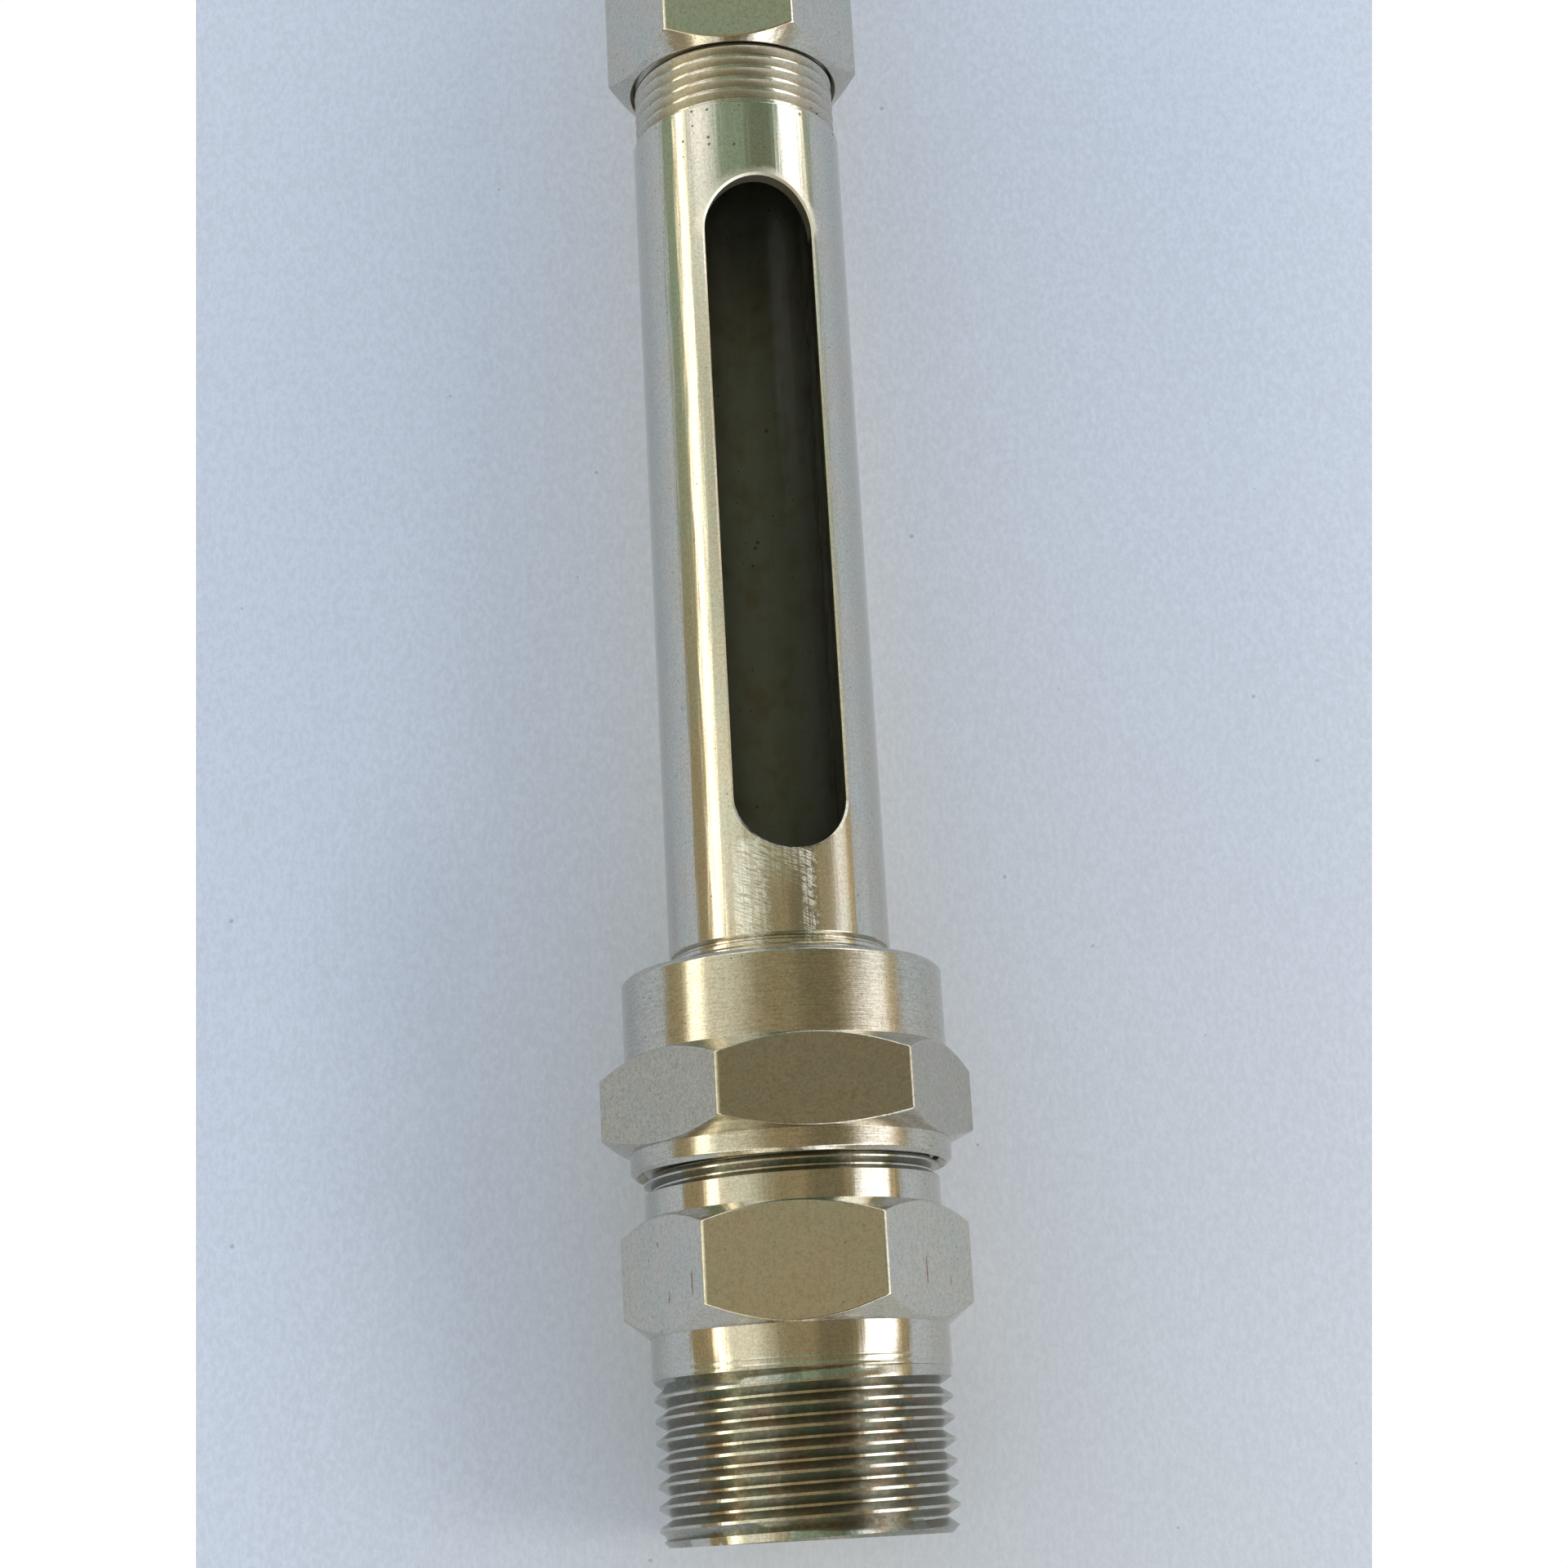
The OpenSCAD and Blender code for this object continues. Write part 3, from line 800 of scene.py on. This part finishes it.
def make_gland_nut():
    """Lower collar, hexagon and upper collar in one, threaded inside."""
    s = sizes()
    material = steel("Gland nut steel", turning=1.0, waviness=0.3, polish=0.09, flat_rough=0.20,
                     axial_grain=0.15, flat_dull=0.35, pit_share=0.05)
    bottom, top = low_high("gland_nut")
    bore = s.gland_crest + s.thread_gap
    skirt, collar, flat = bore + s.skirt_wall, bore + s.collar_wall, bore + s.nut_flat_wall
    hex_low = bottom + s.skirt
    hex_high = hex_low + s.nut_hex
    lip = low_high("lower_gland_ring")[1] + 0.1 * MM
    tube_low = low_high("guard_tube")[0]
    tube_inner = outer_radius("guard_tube") - s.tube_wall
    tube_bore = tube_inner + s.tube_wall - s.tube_step + s.thread_gap
    mouth = bottom + 0.8 * MM
    shell = Shell()
    shell.turn([(bore, mouth), (bore + 0.7 * MM, bottom), (skirt - COLLAR_CHAMFER, bottom),
                (skirt, bottom + COLLAR_CHAMFER), (skirt, hex_low), (skirt + LEDGE, hex_low)], 0.1 * MM)
    shell.rows(hexagon(2 * flat, s.nut_turn, hex_low, s.nut_hex, skirt + LEDGE, 1.6 * MM,
                       collar + LEDGE, 2.1 * MM), flats=HEX_FLATS)
    shell.turn([(collar + LEDGE, hex_high), (collar, hex_high), (collar, top - COLLAR_CHAMFER),
                (collar - COLLAR_CHAMFER, top), (tube_bore, top)], 0.1 * MM)
    shell.turn([(tube_bore, top), (tube_bore, tube_low), (tube_inner + 0.3 * MM, tube_low),
                (tube_inner + 0.3 * MM, lip), (bore, lip)], 0.08 * MM, "inside")
    shell.mesh(female_thread(material, bore, s.fine_pitch, mouth, lip), "inside")
    return shell.finish("gland_nut_steel", material, "nut_and_tube", "gland_nut")


def slot_outline(bottom, top, radius):
    """Half of the slot's outline, lower tip to upper tip: place across, place up and outward normal."""
    quarter = np.radians(np.linspace(0, 90, 25))
    lower = [(radius * math.sin(a), bottom + radius * (1 - math.cos(a)), math.sin(a), -math.cos(a))
             for a in quarter]
    side = [(radius, height, 1.0, 0.0)
            for height in np.linspace(bottom + radius, top - radius, 40)[1:-1]]
    upper = [(across, top + bottom - height, nx, -nz) for across, height, nx, nz in reversed(lower)]
    return lower + side + upper


def slotted_loops(outer, inner, bottom, top, slot_radius, bevel):
    """Closed cross-section loops of a tube along its slot, open towards -Y between the slot's tips."""
    loops = []
    for across, height, nx, nz in slot_outline(bottom, top, slot_radius):
        wide, level = across + bevel * nx, height + bevel * nz

        def arc(radius):
            half = math.asin(min(1.0, wide / radius))
            return [place(a, radius, level) for a in np.linspace(half, 2 * math.pi - half, AROUND + 1)]

        def lip(radius, sign):
            return (sign * across, -math.sqrt(radius ** 2 - across ** 2), height)

        loops.append(arc(outer) + [lip(outer - bevel, -1), lip(inner + bevel, -1)]
                     + arc(inner)[::-1] + [lip(inner + bevel, 1), lip(outer - bevel, 1)])
    return loops


def make_guard_tube():
    """Threaded ends, a relief ring over the nut, and the slotted part between them."""
    s = sizes()
    bottom, top = low_high("guard_tube")
    outer = outer_radius("guard_tube")
    inner = outer - s.tube_wall
    crest = outer - s.tube_step
    nut_top = low_high("gland_nut")[1]
    fitting_low = low_high("upper_body")[0]
    relief = nut_top + 1.4 * MM
    slot_low = nut_top + s.slot_rise
    slot_high = fitting_low - s.slot_drop
    upper_thread = fitting_low - s.tube_thread_open
    bevel = 0.28 * MM
    material = steel("Guard tube steel", turning=0.12, waviness=1.0, polish=0.08, soil=0.0,
                     thread_rough=0.24, pit_share=0.06,
                     buffed=(VIEW_TURN, nut_top / MM + 1.1, slot_low / MM + 1),
                     slot_end=((slot_high - s.slot_radius) / MM, s.slot_radius / MM),
                     scarred=(slot_high / MM + 1.5, upper_thread / MM + 4))
    shell = Shell()
    shell.turn([(inner, slot_low - bevel), (inner, bottom + BORE_CHAMFER),
                (inner + BORE_CHAMFER, bottom), (crest - TUBE_CHAMFER, bottom)], 0.05 * MM, "inside")
    shell.mesh(male_thread(material, crest, s.fine_pitch, bottom, nut_top + 0.2 * MM,
                           cuts=(TUBE_CHAMFER, 0), fades=(THREAD_END, 0.8 * MM)), "thread")
    band = outer - 0.22 * MM
    shell.turn([(crest, nut_top + 0.2 * MM), (crest, relief), (band - 0.15 * MM, relief),
                (band, relief + 0.15 * MM), (band, relief + 0.55 * MM),
                (band - 0.35 * MM, relief + 0.75 * MM), (band - 0.35 * MM, relief + 0.95 * MM),
                (outer - 0.15 * MM, relief + 1.10 * MM), (outer, relief + 1.35 * MM),
                (outer, slot_low - bevel)], 0.05 * MM)
    shell.loops(slotted_loops(outer, inner, slot_low, slot_high, s.slot_radius, bevel))
    shell.turn([(outer, slot_high + bevel), (outer, upper_thread - 0.3 * MM), (crest, upper_thread)],
               0.06 * MM)
    shell.mesh(male_thread(material, crest, s.fine_pitch, upper_thread, top,
                           cuts=(0, TUBE_CHAMFER), fades=(0.5 * MM, THREAD_END)), "thread")
    shell.turn([(crest - TUBE_CHAMFER, top), (inner + BORE_CHAMFER, top),
                (inner, top - BORE_CHAMFER), (inner, slot_high + bevel)], 0.05 * MM, "inside")
    # Faces on the inner half of the wall, the slot's lips too, take the inside mark and with it the painted
    # shade.
    middle = inner + 0.4 * (outer - inner)
    shell.mark([face for face in shell.bm.faces if face.calc_center_median().xy.length < middle],
               "inside")
    return shell.finish("guard_tube_steel", material, "nut_and_tube", "guard_tube")


def make_upper_body():
    """Hexagon, neck and pipe thread, round a threaded bore, the packing chamber and the passage."""
    s = sizes()
    material = steel("Upper body steel", turning=0.5, waviness=0.5, polish=0.08, flat_rough=0.18,
                     axial_grain=0.9, soil=0.6, flat_dull=0.06, pit_share=0.10)
    bottom, top = low_high("upper_body")
    tube_outer = outer_radius("guard_tube")
    bore = tube_outer - s.tube_step + s.thread_gap
    flat = bore + s.upper_flat_wall
    chamber = outer_radius("upper_packing_washer") + 0.15 * MM
    guide = outer_radius("upper_seat_gasket") + 0.1 * MM
    washer_top = low_high("upper_packing_washer")[1]
    gasket_top = low_high("upper_seat_gasket")[1]
    neck = s.upper_crest + s.neck_step
    hex_high = bottom + s.upper_hex
    thread_low = hex_high + s.upper_neck
    bore_top = bottom + s.tube_grip + 0.1 * MM
    mouth = bottom + 0.6 * MM
    shell = Shell()
    shell.turn([(bore, mouth), (bore + 0.42 * MM, bottom)], 0.0, "inside")
    shell.turn([(bore + 0.42 * MM, bottom), (bore + 0.5 * MM, bottom)])
    shell.rows(hexagon(2 * flat, s.hex_turn, bottom, s.upper_hex, bore + 0.5 * MM, 2.0 * MM,
                       neck + 0.05 * MM, 1.6 * MM), flats=HEX_FLATS)
    shell.turn([(neck + 0.05 * MM, hex_high), (neck, hex_high), (neck, thread_low - 0.05 * MM),
                (s.upper_crest, thread_low)], 0.05 * MM)
    shell.mesh(male_thread(material, s.upper_crest, s.upper_pitch, thread_low, top,
                           cuts=(0, PIPE_CHAMFER), fades=(1.3 * MM, THREAD_END)), "thread")
    shell.turn([(s.upper_crest - PIPE_CHAMFER, top), (s.passage_radius + PASSAGE_CHAMFER, top),
                (s.passage_radius, top - PASSAGE_CHAMFER),
                (s.passage_radius, gasket_top), (guide, gasket_top),
                (guide, washer_top), (chamber, washer_top), (chamber, bore_top), (bore, bore_top)],
               0.08 * MM, "inside")
    shell.mesh(female_thread(material, bore, s.fine_pitch, mouth, bore_top, 0.28 * MM), "inside")
    return shell.finish("upper_body_steel", material, "upper_fitting", "upper_body")


def make_glass_tube():
    s = sizes()
    bottom, top = low_high("glass_tube")
    outer = outer_radius("glass_tube")
    inner = outer - s.glass_wall
    shell = Shell()
    shell.turn([(inner + s.glass_wall / 2, bottom), (outer, bottom), (outer, top), (inner, top),
                (inner, bottom), (inner + s.glass_wall / 2, bottom)], 0.6 * MM)
    return shell.finish("glass_tube_clear", clear_glass(), "base", "glass_tube")


def make_ring(node, body, bore, material, soften):
    """A plain ring as big as its CAD node, with softened edges."""
    bottom, top = low_high(node)
    outer = outer_radius(node)
    middle = (outer + bore) / 2
    shell = Shell()
    shell.turn([(middle, bottom), (outer, bottom), (outer, top), (bore, top), (bore, bottom),
                (middle, bottom)], soften)
    return shell.finish(f"{node}_part", material, body, node)


def make_inner_rings():
    s = sizes()
    glass = outer_radius("glass_tube")
    bodies = {"lower": "base", "upper": "upper_seals"}
    machined, white, black = plain_steel(), packing_white(), gasket_rubber()
    for end, body in bodies.items():
        make_ring(f"{end}_seat_gasket", body, s.passage_radius, black, 0.25 * MM)
        make_ring(f"{end}_packing_washer", body, glass + RING_GAP, machined, 0.2 * MM)
        gap = PACKING_GAP if end == "lower" else RING_GAP
        for i in (1, 2, 3):
            make_ring(f"{end}_packing_ring_{i}", body, glass + gap, white, 0.45 * MM)
    make_ring("lower_gland_ring", "lower_follower", glass + RING_GAP, machined, 0.3 * MM)
    make_ring("upper_gland_ring", "upper_seals", glass + RING_GAP, machined, 0.25 * MM)


# ---------------------------------------------------------------- stage

VIEW_TURN = math.radians(-12)     # where the camera stands, from -Y towards +X
VIEW_RISE = math.radians(-15.1)
VIEW_AIM = 85.44 * MM             # height on the axis that the camera aims at
VIEW_DISTANCE = 324.66 * MM
VIEW_ROLL = math.radians(-3.2)
VIEW_SIDESTEP = 1.6 * MM
VIEW_LENS = 63.75
SENSOR = 36                       # width of the camera's sensor, in the lens's unit
SHEET_BEHIND = 21.9 * MM          # from the axis back to the sheet
SHEET_HALF = 1.1                  # half of the sheet's width and height
SHEET_MIDDLE = 0.1                # height of the sheet's centre
SHEET_SHARE = 0.75                # how much of the view's width the sheet fills
CARD_REACH = 1.6                  # outer edge of a white card, in halves of the view's width
CARD_HALF = 1.2                   # half of a card's height, in halves of the view's height
CARD_LIFT = 0.5 * MM              # from the sheet forward to the cards
STRIP_TURN = -64.5                # degrees from the camera's side to the left window's bright strip
LAMP_TURN = math.radians(42)      # the lamp stands to the right of the camera
LAMP_RISE = math.radians(-13)
LAMP_AIM = 20 * MM                # height on the axis that the lamp aims at
LAMP_DISTANCE = 0.22
LAMP_SIZE = 0.05
LAMP_RADIANCE = 9.5


def direction(turn, rise):
    """Unit vector that leaves the axis at this turn from -Y towards +X and this rise over the level."""
    return Vector((math.sin(turn) * math.cos(rise), -math.cos(turn) * math.cos(rise), math.sin(rise)))


def make_camera():
    """The view from below and a little to one side of the slot."""
    camera = bpy.data.objects.new("Camera", bpy.data.cameras.new("Camera"))
    bpy.context.scene.collection.objects.link(camera)
    camera.data.sensor_width = SENSOR
    camera.data.lens = VIEW_LENS
    camera.data.clip_start = 0.01
    camera.data.clip_end = 20
    back = direction(VIEW_TURN, VIEW_RISE)
    aim = (-back).to_track_quat("-Z", "Y") @ Matrix.Rotation(VIEW_ROLL, 3, "Z").to_quaternion()
    camera.rotation_mode = "QUATERNION"
    camera.rotation_quaternion = aim
    camera.location = Vector((0, 0, VIEW_AIM)) + back * VIEW_DISTANCE + aim @ Vector((VIEW_SIDESTEP, 0, 0))
    bpy.context.scene.camera = camera
    return camera


def make_lamp():
    """A soft square light that only rough surfaces feel."""
    data = bpy.data.lights.new("right_side", "AREA")
    data.size = LAMP_SIZE
    data.color = colours().lamp
    data.energy = LAMP_RADIANCE * math.pi * LAMP_SIZE ** 2
    away = direction(VIEW_TURN + LAMP_TURN, LAMP_RISE)
    lamp = bpy.data.objects.new("right_side", data)
    lamp.location = Vector((0, 0, LAMP_AIM)) + away * LAMP_DISTANCE
    lamp.rotation_mode = "QUATERNION"
    lamp.rotation_quaternion = away.to_track_quat("Z", "Y")
    lamp.visible_glossy = False
    bpy.context.scene.collection.objects.link(lamp)


def view_side():
    """Level directions of the camera's side and of its right hand."""
    return (Vector((math.sin(VIEW_TURN), -math.cos(VIEW_TURN), 0)),
            Vector((math.cos(VIEW_TURN), math.sin(VIEW_TURN), 0)))


def flat_sheet(name, material, corners):
    """One stage face that isn't part of the object."""
    mesh = bpy.data.meshes.new(name)
    mesh.from_pydata([tuple(p) for p in corners], [], [(0, 1, 2, 3)])
    mesh.materials.append(material)
    sheet = bpy.data.objects.new(name, mesh)
    bpy.context.scene.collection.objects.link(sheet)
    return sheet


def one_sided(g, shader):
    """Ends a sheet's material so that only its front is seen, and other views look through it."""
    clear = g.node("ShaderNodeBsdfTransparent")
    behind = g.node("ShaderNodeNewGeometry", output="Backfacing")
    shown = g.node("ShaderNodeMixShader", inputs={0: behind, 1: shader, 2: clear})
    g.end("ShaderNodeOutputMaterial", shown)


def make_paper():
    """The pale sheet that the piece lies on, just clear of its hexagon corners."""
    c = colours()
    front, side = view_side()
    material, g = material_graph("Pale sheet")
    at = millimetre_place(g)
    x, y, z = g.split(at)
    across = x * side.x + y * side.y
    fibres = g.noise(at, (1.7, 1.7, 0.9), detail=5, rough=0.85)
    clouds = g.noise(at, scale=0.02, detail=2)
    # Painted light and shade: the sheet is painted pale and cool where it would be lit, higher up and far to
    # the left, and painted darker and warmer near the piece and to the lower right, with random clouds in it.
    cool = (z * 0.0035 - across * 0.004 + across.math("ABSOLUTE") * 0.009 - 0.12 + clouds * 0.2).clamp()
    tint = g.mix(cool, rgba(c.paper_painted_shade), rgba(c.paper))
    # The fibres take a darker copy of the painted shade colour.
    tint = g.mix(fibres.step(0.36, 0.62) * 0.26, tint, rgba(tuple(v * 0.7 for v in c.paper_painted_shade)))
    tint = g.mix(specks(g, at, 0.35, 0.006, 7.0) * 0.35, tint, rgba(c.paper_speck))
    sheet = g.node("ShaderNodeBsdfPrincipled", inputs={
        "Base Color": tint, "Roughness": 0.9, "Specular IOR Level": 0.0, "Normal": bump(g, fibres, 0.03)})
    one_sided(g, sheet)
    centre = -front * SHEET_BEHIND
    corners = [centre + side * (a * SHEET_HALF) + Vector((0, 0, b * SHEET_HALF + SHEET_MIDDLE))
               for a, b in ((-1, -1), (1, -1), (1, 1), (-1, 1))]
    flat_sheet("paper_sheet", material, corners)


def make_margins(camera):
    """White card on both sides of the view, cut so that its inner edges look upright to the camera."""
    material, g = material_graph("White card")
    one_sided(g, g.node("ShaderNodeEmission", inputs={"Color": (1, 1, 1, 1), "Strength": 1.0}))
    front, _ = view_side()
    centre = -front * (SHEET_BEHIND - CARD_LIFT)
    half = SENSOR / 2 / VIEW_LENS
    eye = camera.location
    turn = camera.rotation_quaternion

    def seen(across, up):
        """Where the ray through this place in the view meets the cards' plane."""
        ray = turn @ Vector((across * half, up * half, -1))
        return eye + ray * ((centre - eye).dot(front) / ray.dot(front))

    for name, way in (("card_left", -1), ("card_right", 1)):
        near, far = way * SHEET_SHARE, way * CARD_REACH
        corners = [seen(near, -CARD_HALF), seen(far, -CARD_HALF),
                   seen(far, CARD_HALF), seen(near, CARD_HALF)]
        card = flat_sheet(name, material, corners[::way])
        card.visible_glossy = card.visible_diffuse = card.visible_shadow = False


def make_world():
    """What each kind of ray finds: white for the camera, pale sky for the sheet, a room for the steel."""
    world = bpy.data.worlds.new("Room")
    world.use_nodes = True
    world.node_tree.nodes.clear()
    bpy.context.scene.world = world
    c = colours()
    g = Graph(world.node_tree)
    x, y, z = g.split(g.node("ShaderNodeTexCoord", output="Generated"))
    front, side = view_side()
    turn = (x * side.x + y * side.y).math("ARCTAN2", x * front.x + y * front.y) * (180 / math.pi)
    rise = z.least(1).most(-1).math("ARCSINE") * (180 / math.pi)

    # Turns and rises are in degrees, and turns grow to the right of the camera's side.
    shade = between(rise, 7, 3, 24, 5)
    high = rise.step(13, 27)
    upper = rise.step(24, 28)
    room = g.mix(high, rgba(c.room), rgba(c.room_high))
    room = g.mix(between(turn, 6, 12, 46, 8) * 0.52, room, rgba(c.room_shade))
    room = g.mix(rise.math("ABSOLUTE").step(45, 80) * 0.6, room, rgba(c.room_ends))

    # The broad window on the left, dimmer where the nut's collar and the tube's middle mirror it.
    fill = turn.step(-66 + upper * 10, -56 + upper * 7) * (1 - turn.step(-42, -9))
    collar = between(rise, 6.5, 2, 13, 1.5)
    fill = fill * (1 - between(rise, 15, 5, 28, 4) * 0.6 - collar * 0.5)
    room = g.mix(fill, room, g.mix(upper, rgba(c.window_warm), rgba(c.window_high)))

    # Its bright strip, with a coppery outer edge.
    strip_at = turn - STRIP_TURN
    strip = 1 - strip_at.math("ABSOLUTE").step(2.5, 10)
    room = g.mix(strip, room, g.mix(strip_at.step(-9, -2), rgba(c.strip_edge), rgba(c.window_strip)))

    # The white window on the right, with a golden outer edge.
    start = shade * 14 + 45
    white = turn.step(start, start + 11) * (1 - turn.step(shade * 6 + 74, shade * 8 + 90))
    glow = g.mix(turn.step(74, 84), rgba(c.window_white), rgba(c.window_edge))
    room = g.mix(white * (1 - shade * 0.62), room, glow)

    ray = g.node("ShaderNodeLightPath")
    camera_ray, diffuse_ray = g.outputs(ray, "Is Camera Ray", "Is Diffuse Ray")
    shown = g.mix(diffuse_ray, room, rgba(c.sky))
    shown = g.mix(camera_ray, shown, rgba((1, 1, 1)))
    background = g.node("ShaderNodeBackground", inputs={"Color": shown, "Strength": 1.0})
    g.end("ShaderNodeOutputWorld", background)


def make_stage():
    """Everything round the object: the room, the sheet, the lamp, the cards and the camera."""
    make_world()
    make_paper()
    make_lamp()
    make_margins(make_camera())
    bpy.context.scene.view_settings.view_transform = "Standard"


# ---------------------------------------------------------------- operators, panel and registration

class SIGHTGLASS_OT_lower_body(bpy.types.Operator):
    """Build the lower fitting with its pipe thread and packing chamber"""
    bl_idname = "sight_glass.lower_body"
    bl_label = "Lower body"
    bl_options = {"REGISTER", "UNDO"}

    def execute(self, context):
        make_lower_body()
        return {"FINISHED"}


class SIGHTGLASS_OT_gland_nut(bpy.types.Operator):
    """Build the one-piece gland nut"""
    bl_idname = "sight_glass.gland_nut"
    bl_label = "Gland nut"
    bl_options = {"REGISTER", "UNDO"}

    def execute(self, context):
        make_gland_nut()
        return {"FINISHED"}


class SIGHTGLASS_OT_guard_tube(bpy.types.Operator):
    """Build the slotted guard tube"""
    bl_idname = "sight_glass.guard_tube"
    bl_label = "Guard tube"
    bl_options = {"REGISTER", "UNDO"}

    def execute(self, context):
        make_guard_tube()
        return {"FINISHED"}


class SIGHTGLASS_OT_glass_tube(bpy.types.Operator):
    """Build the glass tube"""
    bl_idname = "sight_glass.glass_tube"
    bl_label = "Glass tube"
    bl_options = {"REGISTER", "UNDO"}

    def execute(self, context):
        make_glass_tube()
        return {"FINISHED"}


class SIGHTGLASS_OT_inner_rings(bpy.types.Operator):
    """Build the packing rings, washers, gland rings and gaskets"""
    bl_idname = "sight_glass.inner_rings"
    bl_label = "Packing and rings"
    bl_options = {"REGISTER", "UNDO"}

    def execute(self, context):
        make_inner_rings()
        return {"FINISHED"}


class SIGHTGLASS_OT_upper_body(bpy.types.Operator):
    """Build the upper fitting with its hexagon and pipe thread"""
    bl_idname = "sight_glass.upper_body"
    bl_label = "Upper body"
    bl_options = {"REGISTER", "UNDO"}

    def execute(self, context):
        make_upper_body()
        return {"FINISHED"}


class SIGHTGLASS_OT_stage(bpy.types.Operator):
    """Set the sheet, the soft light, the room and the camera"""
    bl_idname = "sight_glass.stage"
    bl_label = "Stage"
    bl_options = {"REGISTER", "UNDO"}

    def execute(self, context):
        make_stage()
        return {"FINISHED"}


OPERATORS = (SIGHTGLASS_OT_lower_body, SIGHTGLASS_OT_gland_nut, SIGHTGLASS_OT_guard_tube,
             SIGHTGLASS_OT_glass_tube, SIGHTGLASS_OT_inner_rings, SIGHTGLASS_OT_upper_body,
             SIGHTGLASS_OT_stage)


class SIGHTGLASS_PT_panel(bpy.types.Panel):
    """Lists the makers and the sizes"""
    bl_idname = "SIGHTGLASS_PT_panel"
    bl_label = "Sight glass"
    bl_space_type = "VIEW_3D"
    bl_region_type = "UI"
    bl_category = "Sight glass"

    def draw(self, context):
        for operator in OPERATORS:
            self.layout.operator(operator.bl_idname)
        for group in (context.scene.sight_glass_sizes, context.scene.sight_glass_colours):
            for name in group.bl_rna.properties.keys():
                if name not in ("rna_type", "name"):
                    self.layout.prop(group, name)


CLASSES = (SightGlassSizes, SightGlassColours, *OPERATORS, SIGHTGLASS_PT_panel)


def register():
    for one in CLASSES:
        bpy.utils.register_class(one)
    bpy.types.Scene.sight_glass_sizes = bpy.props.PointerProperty(type=SightGlassSizes)
    bpy.types.Scene.sight_glass_colours = bpy.props.PointerProperty(type=SightGlassColours)


def unregister():
    del bpy.types.Scene.sight_glass_colours
    del bpy.types.Scene.sight_glass_sizes
    for one in reversed(CLASSES):
        bpy.utils.unregister_class(one)


def main():
    register()
    bpy.ops.sight_glass.lower_body()
    bpy.ops.sight_glass.gland_nut()
    bpy.ops.sight_glass.guard_tube()
    bpy.ops.sight_glass.glass_tube()
    bpy.ops.sight_glass.inner_rings()
    bpy.ops.sight_glass.upper_body()
    bpy.ops.sight_glass.stage()


if __name__ == "__main__":
    main()
